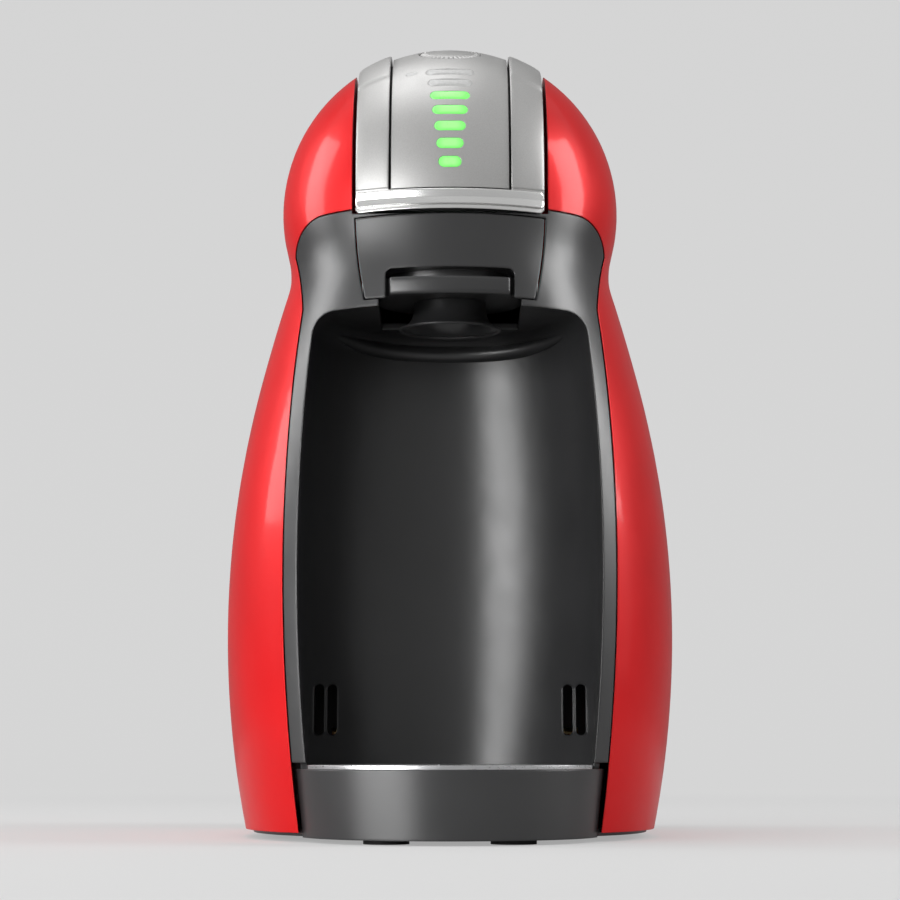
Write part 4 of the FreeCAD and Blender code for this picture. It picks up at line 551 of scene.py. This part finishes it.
def brushed_steel():
    """Steel brushed along X."""
    steel = colours().steel[:]
    material, tree, shader = new_finish("brushed_steel", steel, roughness=0.28, metallic=1.0)
    strokes = cloud(tree, scale=1800.0, stretch=(0.03, 1.0, 1.0))
    vary_colour(tree, shader, strokes, shade(steel, 0.96), shade(steel, 1.04))
    vary_roughness(tree, shader, strokes, low=0.26, high=0.34)
    relief = emboss(tree, shader, strokes, strength=0.02, depth=0.02 * MM)
    soften_edges(tree, relief, radius=0.4 * MM)
    return material


def clear_tank():
    """Smoky clear plastic with faint flow marks."""
    material, tree, shader = new_finish("clear_tank", colours().tank[:], roughness=0.06)
    shader.inputs["Transmission Weight"].default_value = 0.92
    shader.inputs["IOR"].default_value = 1.49
    vary_roughness(tree, shader, cloud(tree, scale=80.0), low=0.04, high=0.1)
    emboss(tree, shader, cloud(tree, scale=30.0), strength=0.03, depth=0.4 * MM)
    return material


def moulded(name, colour, roughness, grain):
    """Plain moulded material with a drift of shade and a grain."""
    material, tree, shader = new_finish(name, colour, roughness)
    drift = 0.06
    vary_colour(tree, shader, cloud(tree, scale=40.0), shade(colour, 0.85), shade(colour, 1.15))
    vary_roughness(tree, shader, cloud(tree, scale=150.0), roughness - drift, roughness + drift)
    emboss(tree, shader, cloud(tree, scale=grain), strength=0.15, depth=0.1 * MM)
    return material


def metal(name, colour, roughness, grain):
    """Plain metal with a drift of shade and a fine grain."""
    material, tree, shader = new_finish(name, colour, roughness, metallic=1.0)
    drift = 0.07
    vary_colour(tree, shader, cloud(tree, scale=200.0), shade(colour, 0.9), shade(colour, 1.1))
    vary_roughness(tree, shader, cloud(tree, scale=300.0), roughness - drift, roughness + drift)
    emboss(tree, shader, cloud(tree, scale=grain), strength=0.15, depth=0.1 * MM)
    return material


def finishes():
    """One material for each material slot of the record."""
    return {
        "red_gloss": red_gloss(),
        "black_satin": black_satin(),
        "silver_satin": silver_satin(),
        "bright_lip": bright_plate(),
        "lit_green": lit_bar(),
        "unlit_lens": unlit_bar(),
        "grate_steel": brushed_steel(),
        "tank_clear": clear_tank(),
        "inner_grey": moulded("inner_grey", (0.16, 0.16, 0.17), 0.55, 1500.0),
        "rubber_black": moulded("rubber_black", (0.02, 0.02, 0.02), 0.75, 900.0),
        "pin_steel": metal("pin_steel", (0.6, 0.6, 0.6), 0.3, 2000.0),
        "cast_aluminium": metal("cast_aluminium", (0.7, 0.7, 0.71), 0.5, 700.0),
        "coil_dark": moulded("coil_dark", (0.06, 0.05, 0.05), 0.4, 1200.0),
        "pump_brass": metal("pump_brass", (0.7, 0.53, 0.25), 0.3, 1800.0),
        "hose_clear": moulded("hose_clear", (0.75, 0.76, 0.74), 0.45, 800.0),
        "board_green": moulded("board_green", (0.03, 0.2, 0.09), 0.45, 2400.0),
    }


def paint(piece, slot):
    """Gives a piece the finish of a material slot."""
    piece.data.materials.clear()
    piece.data.materials.append(bpy.data.materials[FINISH_NAMES[slot]])


# Surfaces

def skin(name, rows, poles=None, wrap=False):
    """Mesh through rows of closed rings. Neighbouring rings are joined by quads.

    The ends are closed by fans to two poles, or the last ring is joined to the first where wrap is set.
    """
    count, ring = rows.shape[:2]
    points = rows.reshape(-1, 3)
    first = np.arange(count if wrap else count - 1)[:, None]
    second = (first + 1) % count
    here = np.arange(ring)[None, :]
    there = (here + 1) % ring
    quads = np.stack([first * ring + here, first * ring + there,
                      second * ring + there, second * ring + here], axis=-1).reshape(-1, 4)
    faces = [tuple(face) for face in quads.tolist()]
    if poles is not None:
        points = np.vstack([points, poles])
        start, end = count * ring, count * ring + 1
        faces += [(start, b, a) for a, b in zip(here[0].tolist(), there[0].tolist())]
        last = (count - 1) * ring
        faces += [(end, last + a, last + b) for a, b in zip(here[0].tolist(), there[0].tolist())]
    mesh = bpy.data.meshes.new(name)
    mesh.from_pydata(points.tolist(), [], faces)
    mesh.validate()
    if signed_volume(mesh) < 0.0:
        mesh.flip_normals()
    mesh.shade_smooth()
    piece = bpy.data.objects.new(name, mesh)
    bpy.context.scene.collection.objects.link(piece)
    return piece


def signed_volume(mesh):
    """Sum of the tetrahedra between the origin and each triangle: positive where faces point outwards."""
    mesh.calc_loop_triangles()
    corners = np.zeros(len(mesh.loop_triangles) * 3, np.int32)
    mesh.loop_triangles.foreach_get("vertices", corners)
    points = np.zeros(len(mesh.vertices) * 3, np.float32)
    mesh.vertices.foreach_get("co", points)
    a, b, c = points.reshape(-1, 3)[corners.reshape(-1, 3)].astype(float).transpose(1, 0, 2)
    return float(np.einsum("ij,ij->i", a, np.cross(b, c)).sum() / 6.0)


def on_ball(across, angle, radius):
    """Points on a ball about the head's centre: across in X, turned by an angle up from the front."""
    across, angle, radius = np.broadcast_arrays(across, angle, radius)
    reach = np.sqrt(np.maximum(radius ** 2 - across ** 2, 0.0))
    return HEAD + np.stack([across, -reach * np.cos(angle), reach * np.sin(angle)], axis=-1)


def full_turn(count):
    """Angles of the points of a ring."""
    return np.linspace(0.0, 2.0 * np.pi, count, endpoint=False)


def eased(count):
    """Places from -1 to 1 along a run, at sin(a) for even steps of a, so that they crowd at its ends."""
    return np.sin(np.linspace(-np.pi / 2.0, np.pi / 2.0, count))


def quarter_round(share):
    """Quarter circle from 0 to 1: sqrt(1 - (1 - share) ** 2), with the share kept between 0 and 1."""
    return np.sqrt(1.0 - (1.0 - np.clip(share, 0.0, 1.0)) ** 2)


def oval(turn, power):
    """Points u and v with |u| ** power + |v| ** power = 1."""
    u, v = np.cos(turn), np.sin(turn)
    return np.sign(u) * np.abs(u) ** (2.0 / power), np.sign(v) * np.abs(v) ** (2.0 / power)


def pill_outline(width, height, count):
    """Closed outline with straight sides and round ends, evenly spaced in angle about each end."""
    turn = full_turn(count)
    side = (width - height) / 2.0 * np.sign(np.cos(turn))
    return side + height / 2.0 * np.cos(turn), height / 2.0 * np.sin(turn)


def light_bar(index, name):
    """Light bar on the display: a pill outline that is drawn in towards the middle.

    At share s of the outline its height above the strip is crown * (1 - s ** 4).
    Its sides go down into its window.
    """
    size = sizes()
    width = size.bar_first_width + size.bar_width_step * index
    across, along = pill_outline(width - BAR_PLAY, size.bar_height - BAR_PLAY, count=48)
    inward = np.linspace(1.0, BAR_INNER, 9)
    share = np.concatenate([[1.0, 1.0], inward])[:, None]
    lift = np.concatenate([[-BAR_DEPTH, 0.0], size.bar_crown * (1.0 - inward ** 4)])[:, None]
    angle = size.bar_first_angle + size.bar_step_angle * index
    rows = on_ball(share * across, angle + share * along / size.strip_radius, size.strip_radius + lift)
    ends = size.strip_radius + np.array([-BAR_DEPTH, size.bar_crown])
    piece = skin(name, rows, on_ball(0.0, angle, ends))
    glow = np.concatenate([np.repeat(1.0 - share, across.size), [0.0, 1.0]])
    field = piece.data.attributes.new("glow", "FLOAT", "POINT")
    field.data.foreach_set("value", glow.astype(np.float32))
    return piece


def lip_surface(name):
    """Plated lip: a section of straight runs carried across the head's front.

    From its upper edge the face goes straight down, leans out, drops back at a thin groove and ends in a
    narrow band. The lower edge keeps to a level above the chin. The section shrinks to nothing at the ends.
    """
    size = sizes()
    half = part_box("handle_lip")[1].x
    across = half * eased(count=121)
    shrink = quarter_round((half - np.abs(across)) / LIP_END)[1:-1, None]
    across = across[1:-1, None]
    share = np.linspace(0.0, 1.0, 90)
    down = np.concatenate([share, share[::-1]])
    stand = np.concatenate([np.interp(share, LIP_DOWN, LIP_OUT), np.full(share.size, -LIP_BACK)])
    middle = size.lip_inner + size.lip_proud / 2.0
    low_level = size.lip_inner * np.sin(size.lip_low) + LIP_ROOM
    foot = np.arcsin(low_level / np.sqrt(middle ** 2 - across ** 2))
    centre = (foot + size.lip_high) / 2.0
    angle = centre + (size.lip_high - foot) * (0.5 - down) * shrink
    radius = middle + (size.lip_inner + size.lip_proud * stand - middle) * shrink
    poles = on_ball(np.array([-half, half]), centre[[0, -1], 0], middle)
    return skin(name, on_ball(across, angle, radius), poles)


def arm_surface(name, side):
    """Skin of a handle arm: a section |u| ** 6 + |v| ** 6 = 1 carried up over the head's ball.

    Its face rises by a smooth step t * t * (3 - 2 * t) near the crown.
    The section shrinks to nothing at both ends.
    """
    size = sizes()
    start = size.lip_high + ARM_GAP / size.arm_face
    halfway = (start + size.arm_rear) / 2.0
    reach = (size.arm_rear - start) / 2.0
    angle = halfway + reach * eased(count=161)
    to_end = (reach - np.abs(angle - halfway)) * size.arm_face
    shrink = quarter_round(to_end / ARM_END)[1:-1, None]
    angle = angle[1:-1, None]
    t = np.clip((angle - size.arm_step_angle) / ARM_STEP_RUN, 0.0, 1.0)
    face = size.arm_face + size.arm_step * t * t * (3.0 - 2.0 * t)
    back = size.arm_face - size.arm_thick
    u, v = oval(full_turn(count=72), power=6.0)
    middle = side * (size.arm_inner + size.arm_outer) / 2.0
    half = (size.arm_outer - size.arm_inner) / 2.0 * (1.0 - ARM_NARROW * (1.0 - shrink))
    core = (face + back) / 2.0
    rows = on_ball(middle + half * u, angle, core + (face - back) / 2.0 * v * shrink)
    poles = on_ball(middle, angle[[0, -1], 0], core[[0, -1], 0])
    return skin(name, rows, poles)


def skirt_surface(name):
    """Splash skirt: a bell turned about the cup's axis, with an even wall and a round rim.

    The radius is neck + (rim - neck) * t ** flare from the neck down to the rim.
    """
    size = sizes()
    low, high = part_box("splash_skirt")
    axis_y = (low.y + high.y) / 2.0
    t = np.linspace(0.0, 1.0, 40)
    outer = size.skirt_neck + (size.skirt_rim - size.skirt_neck) * t ** SKIRT_FLARE
    bend = np.linspace(0.0, np.pi, 9)[1:-1]
    half = size.skirt_wall / 2.0
    rim_radius = size.skirt_rim - half + half * np.cos(bend)
    rim_level = low.z + half - half * np.sin(bend)
    level = np.maximum(high.z + (low.z - high.z) * t, low.z + half)
    radius = np.concatenate([outer, rim_radius, (outer - size.skirt_wall)[::-1]])[:, None]
    height = np.concatenate([level, rim_level, level[::-1]])[:, None]
    turn = full_turn(count=96)
    places = np.broadcast_arrays(radius * np.cos(turn), axis_y + radius * np.sin(turn), height)
    return skin(name, np.stack(places, axis=-1), wrap=True)


def wall_place(across, level):
    """Point on the cup space's wall and the wall's outward direction.

    The wall is the half oval y = front + depth * sqrt(1 - (x / half) ** 2). Its half width is bowed in
    height: half = widest - bow + sqrt(bow ** 2 - (z - level) ** 2) - strip.
    """
    size = sizes()

    def deep(x, z):
        half = size.seam_half - size.seam_bow - size.strip_width
        half = half + np.sqrt(size.seam_bow ** 2 - (z - size.seam_level) ** 2)
        return size.wall_front + size.wall_depth * np.sqrt(1.0 - (x / half) ** 2)

    step = WALL_STEP
    slope_x = (deep(across + step, level) - deep(across - step, level)) / (2.0 * step)
    slope_z = (deep(across, level + step) - deep(across, level - step)) / (2.0 * step)
    normal = np.stack([slope_x, -np.ones_like(across), slope_z], axis=-1)
    normal /= np.linalg.norm(normal, axis=-1, keepdims=True)
    return np.stack([across, deep(across, level), level], axis=-1), normal


def bead(path, along, normal, radius, count):
    """Rings of a round bead: path + radius * (cos(a) * side + sin(a) * normal).

    The side is across the path and the normal.
    """
    side = np.cross(along, normal)
    side /= np.linalg.norm(side, axis=-1, keepdims=True)
    turn = full_turn(count)[None, :, None]
    radius = np.broadcast_to(radius, path.shape[:1])[:, None, None]
    return path[:, None] + radius * (np.cos(turn) * side[:, None] + np.sin(turn) * normal[:, None])


def slot_rim(name, x):
    """Bead round an upright slot: a pill outline that is laid on the cup space's wall."""
    size = sizes()
    tall = size.slot_high - size.slot_low + SLOT_ROOM
    rise, out = pill_outline(tall, size.slot_width + SLOT_ROOM, count=64)
    path, normal = wall_place(x + out, (size.slot_low + size.slot_high) / 2.0 + rise)
    along = np.roll(path, -1, axis=0) - np.roll(path, 1, axis=0)
    return skin(name, bead(path, along, normal, size.slot_rim, count=10), wrap=True)


def brow_surface(name):
    """Rounded brow over the cup space's wall: a bead of radius r * (1 - s ** 6).

    At share s of its half width it has risen by rise * s ** 4.
    """
    size = sizes()
    share = eased(count=101)[1:-1]
    path, normal = wall_place(size.brow_half * share, size.brow_level + BROW_RISE * share ** 4)
    along = np.gradient(path, axis=0)
    rows = bead(path, along, normal, size.brow_radius * (1.0 - share ** 6), count=28)
    return skin(name, rows, path[[0, -1]])


def dial_surface(name):
    """Volume dial: rings about its axis, with ribs of depth d * (1 + cos(n * turn)) / 2 round the edge.

    The top follows the ball of the head and the rim is rounded over.
    """
    size = sizes()
    points_per_rib = 8
    turn = full_turn(points_per_rib * size.dial_ribs)
    edge = np.sqrt(size.strip_radius ** 2 - size.dial_radius ** 2)
    rim, top = round_rim(size.dial_radius, edge, DIAL_ROUND)
    inward = np.linspace(rim[-1], DIAL_HUB, 14)[1:]
    dome = np.sqrt(size.strip_radius ** 2 - inward ** 2)
    dome += (top[-1] - dome[0]) * (inward / inward[0]) ** 6
    base = size.strip_radius - DIAL_DEPTH
    radius = np.concatenate([[size.dial_radius], rim, inward])[:, None]
    height = np.concatenate([[base], top, dome])[:, None]
    fade = np.clip((radius / size.dial_radius - RIB_START) / RIB_RUN, 0.0, 1.0)
    ribs = size.dial_rib_depth * (1.0 + np.cos(size.dial_ribs * turn)) / 2.0
    lift = height - RIB_DENT * np.where(height > base, fade, 0.0) * ribs
    return turned(name, DIAL_AXIS, radius - fade * ribs, lift, turn)


def round_rim(radius, height, round_off):
    """Quarter round at an edge: radius and height as the rim turns from the side to the top."""
    bend = np.linspace(0.0, np.pi / 2.0, 7)
    return radius - round_off * (1.0 - np.cos(bend)), height - round_off * (1.0 - np.sin(bend))


def turned(name, axis, radius, height, turn):
    """Closed form turned about an axis through the head's centre, from rings of a radius and a height."""
    along = np.cross(axis, ACROSS)
    radius, height, turn = np.broadcast_arrays(radius, height, turn)
    rows = (HEAD + height[..., None] * axis + (radius * np.cos(turn))[..., None] * ACROSS
            + (radius * np.sin(turn))[..., None] * along)
    poles = np.array([HEAD + height[0].mean() * axis, HEAD + height[-1].mean() * axis])
    return skin(name, rows, poles)


def button_surface(name):
    """Power button: a disc with a round rim and a hollow of depth d * (1 - (r / R) ** 2) in its face."""
    size = sizes()
    edge = np.sqrt(size.strip_radius ** 2 - size.button_radius ** 2)
    rim, top = round_rim(size.button_radius, edge, BUTTON_ROUND)
    inward = np.linspace(rim[-1], BUTTON_HUB, 12)[1:]
    dish = top[-1] - size.button_dish * (1.0 - (inward / rim[-1]) ** 2)
    base = size.strip_radius - BUTTON_DEPTH
    radius = np.concatenate([[size.button_radius], rim, inward])[:, None]
    height = np.concatenate([[base], top, dish])[:, None]
    return turned(name, BUTTON_AXIS, radius, height, full_turn(count=72))


def grip_surface(name):
    """Drawer grip: a rounded section |u| ** 5 + |v| ** 5 = 1 carried along a bow across the recess.

    Its face steps back near each end, where a thinner strap goes in behind the chin.
    """
    size = sizes()
    low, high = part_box("drawer_grip")
    across = high.x * eased(count=121)[1:-1, None]
    bow = size.grip_bow - np.sqrt(size.grip_bow ** 2 - across ** 2)
    beyond = (np.abs(across) - size.grip_half) / GRIP_STEP_RUN
    face = low.y + bow + size.grip_step * quarter_round(beyond)
    back = low.y + bow + size.grip_step + GRIP_STRAP
    u, v = oval(full_turn(count=48), power=5.0)
    deep = (face + back) / 2.0 + (back - face) / 2.0 * u
    level = (low.z + high.z) / 2.0 + (high.z - low.z) / 2.0 * v
    rows = np.stack(np.broadcast_arrays(across, deep, level), axis=-1)
    return skin(name, rows, rows[[0, -1]].mean(axis=1))


def coil_surface(name, foot, axis, length, radius):
    """Coil spring: a round wire on the helix foot + h * axis + R * (cos(p) * side + sin(p) * other).

    The height h grows evenly with the turn p.
    """
    size = sizes()
    points_per_turn = 40
    share = np.linspace(0.0, 1.0, points_per_turn * size.spring_turns + 1)[:, None]
    turn = 2.0 * np.pi * size.spring_turns * share
    out = np.cos(turn) * ACROSS + np.sin(turn) * np.cross(axis, ACROSS)
    wire = size.spring_wire
    path = foot + (wire + (length - 2.0 * wire) * share) * axis + (radius - wire) * out
    rows = bead(path, np.gradient(path, axis=0), out, wire, count=10)
    return skin(name, rows, path[[0, -1]])


def hose_surface(name):
    """Delivery hose: a leg up from the heater and an arch |u| ** 4 + |v| ** 4 = 1 over to the injector."""
    low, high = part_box("delivery_tube")
    radius = (high.x - low.x) / 2.0
    shoulder = sizes().hose_shoulder
    u, v = oval(np.linspace(0.0, np.pi, 61), power=4.0)
    arch_y = (low.y + high.y) / 2.0 + ((high.y - low.y) / 2.0 - radius) * u
    arch_z = shoulder + (high.z - radius - shoulder) * v
    leg_z = np.linspace(low.z, shoulder, 24)[:-1]
    deep = np.concatenate([np.full(leg_z.size, arch_y[0]), arch_y])
    level = np.concatenate([leg_z, arch_z])
    path = np.stack([np.full(deep.size, (low.x + high.x) / 2.0), deep, level], axis=-1)
    side = np.broadcast_to(ACROSS, path.shape)
    rows = bead(path, np.gradient(path, axis=0), side, radius, count=24)
    return skin(name, rows, path[[0, -1]])


def settle(piece, body, slot, *nodes):
    """Paints a new piece and puts it on its body in place of the nodes that it stands for."""
    paint(piece, slot)
    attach(piece, body)
    if nodes:
        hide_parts(*nodes)
    return piece


def press(spring):
    """Gives a spring its own copy of its mesh."""
    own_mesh(spring)


# Operators

class MACHINE_OT_paint(bpy.types.Operator):
    """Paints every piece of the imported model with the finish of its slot"""

    bl_idname = "machine.paint"
    bl_label = "Paint the pieces"

    def execute(self, context):
        FINISH_NAMES.update({slot: made.name for slot, made in finishes().items()})
        for part in frame["record"]["subparts"]:
            paint(frame["nodes"][part["node"]], part["material_slot"])
        return {"FINISHED"}


class MACHINE_OT_light_bars(bpy.types.Operator):
    """Makes the domed light bars of the display"""

    bl_idname = "machine.light_bars"
    bl_label = "Light bars"

    def execute(self, context):
        size = sizes()
        for index in range(size.bar_count):
            lit = index < size.lit_count
            piece = light_bar(index, "light_bar_%d" % (index + 1))
            node, slot = ("lit_bars", "lit_green") if lit else ("unlit_bars", "unlit_lens")
            settle(piece, "machine", slot, node)
        return {"FINISHED"}


class MACHINE_OT_lip(bpy.types.Operator):
    """Makes the plated lip of the handle"""

    bl_idname = "machine.lip"
    bl_label = "Handle lip"

    def execute(self, context):
        settle(lip_surface("plated_lip"), "handle", "bright_lip", "handle_lip")
        return {"FINISHED"}


class MACHINE_OT_arms(bpy.types.Operator):
    """Makes the rounded skins of the handle's two arms"""

    bl_idname = "machine.arms"
    bl_label = "Handle arms"

    def execute(self, context):
        for side, name in ((-1.0, "left_arm_skin"), (1.0, "right_arm_skin")):
            settle(arm_surface(name, side), "handle", "silver_satin")
        return {"FINISHED"}


class MACHINE_OT_slot_rims(bpy.types.Operator):
    """Makes the beads round the four upright slots"""

    bl_idname = "machine.slot_rims"
    bl_label = "Slot rims"

    def execute(self, context):
        for index, place in enumerate(SLOT_PLACES):
            settle(slot_rim("slot_rim_%d" % (index + 1), place), "machine", "black_satin")
        return {"FINISHED"}


class MACHINE_OT_brow(bpy.types.Operator):
    """Makes the rounded brow over the cup space"""

    bl_idname = "machine.brow"
    bl_label = "Brow"

    def execute(self, context):
        settle(brow_surface("cup_space_brow"), "machine", "black_satin")
        return {"FINISHED"}


class MACHINE_OT_skirt(bpy.types.Operator):
    """Makes the splash skirt under the capsule drawer"""

    bl_idname = "machine.skirt"
    bl_label = "Splash skirt"

    def execute(self, context):
        settle(skirt_surface("turned_skirt"), "drawer", "black_satin", "splash_skirt")
        return {"FINISHED"}


class MACHINE_OT_dial(bpy.types.Operator):
    """Makes the ribbed volume dial"""

    bl_idname = "machine.dial"
    bl_label = "Volume dial"

    def execute(self, context):
        settle(dial_surface("ribbed_dial"), "dial", "silver_satin", "volume_dial")
        return {"FINISHED"}


class MACHINE_OT_button(bpy.types.Operator):
    """Makes the dished power button"""

    bl_idname = "machine.button"
    bl_label = "Power button"

    def execute(self, context):
        settle(button_surface("dished_button"), "button", "silver_satin", "power_button")
        return {"FINISHED"}


class MACHINE_OT_grip(bpy.types.Operator):
    """Makes the drawer's grip bar"""

    bl_idname = "machine.grip"
    bl_label = "Drawer grip"

    def execute(self, context):
        settle(grip_surface("bowed_grip"), "drawer", "black_satin", "drawer_grip")
        return {"FINISHED"}


class MACHINE_OT_springs(bpy.types.Operator):
    """Makes the coil springs of the tank's valve and the power button"""

    bl_idname = "machine.springs"
    bl_label = "Springs"

    def execute(self, context):
        size = sizes()
        low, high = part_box("valve_spring")
        foot = np.array([(low.x + high.x) / 2.0, (low.y + high.y) / 2.0, low.z])
        length = high.z - low.z
        spring = coil_surface("valve_coil", foot, UP, length, (high.x - low.x) / 2.0)
        settle(spring, "valve", "pin_steel", "valve_spring")
        press(spring)
        foot = HEAD + (size.strip_radius - size.button_spring_foot) * BUTTON_AXIS
        length = size.button_spring_foot - size.button_spring_top
        spring = coil_surface("button_coil", foot, BUTTON_AXIS, length, size.button_spring_radius)
        settle(spring, "button", "pin_steel", "button_spring")
        press(spring)
        return {"FINISHED"}


class MACHINE_OT_hose(bpy.types.Operator):
    """Makes the delivery hose from the heater over to the injector"""

    bl_idname = "machine.hose"
    bl_label = "Delivery hose"

    def execute(self, context):
        hose = hose_surface("delivery_hose")
        paint(hose, "hose_clear")
        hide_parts("delivery_tube")
        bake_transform(hose)
        return {"FINISHED"}


# Stage

def floor_finish():
    """Pale matt floor.

    Far from the machine its own colour gives way to an even brightness, so that no lamp burns it out.
    """
    stage = bpy.context.scene.machine_stage
    pale = colours().floor[:]
    material, tree, shader = new_finish("pale_floor", pale, roughness=0.6)
    shader.inputs["Specular IOR Level"].default_value = 0.0
    shader.inputs["Emission Color"].default_value = WHITE
    place = tree.nodes.new("ShaderNodeTexCoord")
    reach = tree.nodes.new("ShaderNodeVectorMath")
    reach.operation = "LENGTH"
    tree.links.new(place.outputs["Object"], reach.inputs[0])
    radii = (stage.near_radius, stage.far_radius)
    fade = ranged(tree, reach.outputs["Value"], radii, (0.0, 1.0), "SMOOTHSTEP")
    colour = ramped(tree, fade, (pale, shade(pale, stage.far_shade)))
    tree.links.new(colour, shader.inputs["Base Color"])
    lift = ranged(tree, fade, (0.0, 1.0), (stage.floor_lift, stage.far_lift))
    shown = maths(tree, "MULTIPLY", lift, seen_rays(tree))
    tree.links.new(shown, shader.inputs["Emission Strength"])
    return material


def seen_rays(tree):
    """One for rays that show the room directly or through clear plastic, and zero for rays of light.

    A reflection shows a share.
    """
    path = tree.nodes.new("ShaderNodeLightPath")
    share = bpy.context.scene.machine_stage.mirrored
    mirrored = maths(tree, "MULTIPLY", path.outputs["Is Glossy Ray"], share)
    direct = maths(tree, "MAXIMUM", path.outputs["Is Camera Ray"], path.outputs["Is Transmission Ray"])
    return maths(tree, "MAXIMUM", direct, mirrored)


def pale_room(stage):
    """World that gives an even light, and is seen as a pale room that brightens towards the ceiling."""
    world = bpy.data.worlds.new("room")
    world.use_nodes = True
    tree = world.node_tree
    light = tree.nodes["Background"]
    light.inputs["Color"].default_value = WHITE
    light.inputs["Strength"].default_value = stage.ambient
    seen = tree.nodes.new("ShaderNodeBackground")
    seen.inputs["Color"].default_value = WHITE
    direction = tree.nodes.new("ShaderNodeTexCoord")
    parts = tree.nodes.new("ShaderNodeSeparateXYZ")
    tree.links.new(direction.outputs["Generated"], parts.inputs["Vector"])
    rise = ranged(tree, parts.outputs["Z"], ROOM_SPAN, (stage.pale_low, stage.pale_high))
    tree.links.new(rise, seen.inputs["Strength"])
    mix = tree.nodes.new("ShaderNodeMixShader")
    tree.links.new(seen_rays(tree), mix.inputs["Fac"])
    tree.links.new(light.outputs["Background"], mix.inputs[1])
    tree.links.new(seen.outputs["Background"], mix.inputs[2])
    tree.links.new(mix.outputs["Shader"], tree.nodes["World Output"].inputs["Surface"])
    return world


def floor_sheet():
    """Floor: a flat sheet that bends up on a quarter circle behind the machine and ends in a wall."""
    along = np.linspace(-FLOOR_REACH, FLOOR_REACH, 33)[None, :]
    turn = np.linspace(0.0, np.pi / 2.0, 17)
    wall = FLOOR_BACK + FLOOR_BEND
    deep = np.concatenate([[-FLOOR_REACH], FLOOR_BACK + FLOOR_BEND * np.sin(turn), [wall]])[:, None]
    high = np.concatenate([[0.0], FLOOR_BEND - FLOOR_BEND * np.cos(turn), [FLOOR_TOP]])[:, None]
    rows = np.stack(np.broadcast_arrays(along, deep, high), axis=-1)
    count, width = rows.shape[:2]
    index = np.arange(count * width).reshape(count, width)
    quads = np.stack([index[:-1, :-1], index[:-1, 1:], index[1:, 1:], index[1:, :-1]], axis=-1)
    mesh = bpy.data.meshes.new("floor")
    mesh.from_pydata(rows.reshape(-1, 3).tolist(), [], quads.reshape(-1, 4).tolist())
    mesh.shade_smooth()
    mesh.materials.append(floor_finish())
    floor = bpy.data.objects.new("floor", mesh)
    bpy.context.scene.collection.objects.link(floor)
    return floor


def aimed(name, data, place, aim):
    """Lamp or camera at a place, turned to a point."""
    item = bpy.data.objects.new(name, data)
    item.location = place
    item.rotation_euler = (Vector(aim) - Vector(place)).to_track_quat("-Z", "Y").to_euler()
    bpy.context.scene.collection.objects.link(item)
    return item


def soft_light(name, place, size, power):
    """Rectangular soft light at a place, turned to the machine."""
    data = bpy.data.lights.new(name, "AREA")
    data.shape = "RECTANGLE"
    data.size, data.size_y = size
    data.energy = power
    aimed(name, data, place, LIGHT_AIM)


class MACHINE_OT_stage(bpy.types.Operator):
    """Sets up the floor, the lights and the camera"""

    bl_idname = "machine.stage"
    bl_label = "Stage"

    def execute(self, context):
        scene = context.scene
        stage = scene.machine_stage
        floor = floor_sheet()
        for name, place, size, power in LIGHTS:
            soft_light(name, place, size, power)
        scene.world = pale_room(stage)
        scene.view_settings.view_transform = "Standard"
        data = bpy.data.cameras.new("camera")
        data.sensor_width = SENSOR_WIDTH
        data.lens = stage.lens
        place = (0.0, -stage.camera_distance, stage.camera_height)
        scene.camera = aimed("camera", data, place, (0.0, 0.0, stage.aim_height))
        return {"FINISHED"}


# Panel, registration and run

class VIEW3D_PT_machine(bpy.types.Panel):
    """Lists the operators that make and paint the machine"""

    bl_label = "Coffee machine"
    bl_space_type = "VIEW_3D"
    bl_region_type = "UI"
    bl_category = "Coffee machine"

    def draw(self, context):
        for maker in OPERATORS:
            self.layout.operator(maker.bl_idname)


OPERATORS = (
    MACHINE_OT_paint,
    MACHINE_OT_light_bars,
    MACHINE_OT_lip,
    MACHINE_OT_arms,
    MACHINE_OT_slot_rims,
    MACHINE_OT_brow,
    MACHINE_OT_skirt,
    MACHINE_OT_dial,
    MACHINE_OT_button,
    MACHINE_OT_grip,
    MACHINE_OT_springs,
    MACHINE_OT_hose,
    MACHINE_OT_stage,
)
CLASSES = (MachineColours, MachineSizes, StageSizes, *OPERATORS, VIEW3D_PT_machine)


def register():
    """Registers the classes and their settings on the scene."""
    for item in CLASSES:
        bpy.utils.register_class(item)
    bpy.types.Scene.machine_colours = PointerProperty(type=MachineColours)
    bpy.types.Scene.machine_sizes = PointerProperty(type=MachineSizes)
    bpy.types.Scene.machine_stage = PointerProperty(type=StageSizes)


def unregister():
    """Takes the settings and the classes away again."""
    del bpy.types.Scene.machine_stage
    del bpy.types.Scene.machine_sizes
    del bpy.types.Scene.machine_colours
    for item in reversed(CLASSES):
        bpy.utils.unregister_class(item)


def main():
    """Builds the whole scene."""
    register()
    bpy.ops.machine.paint()
    bpy.ops.machine.light_bars()
    bpy.ops.machine.lip()
    bpy.ops.machine.arms()
    bpy.ops.machine.slot_rims()
    bpy.ops.machine.brow()
    bpy.ops.machine.skirt()
    bpy.ops.machine.dial()
    bpy.ops.machine.button()
    bpy.ops.machine.grip()
    bpy.ops.machine.springs()
    bpy.ops.machine.hose()
    bpy.ops.machine.stage()


if __name__ == "__main__":
    main()
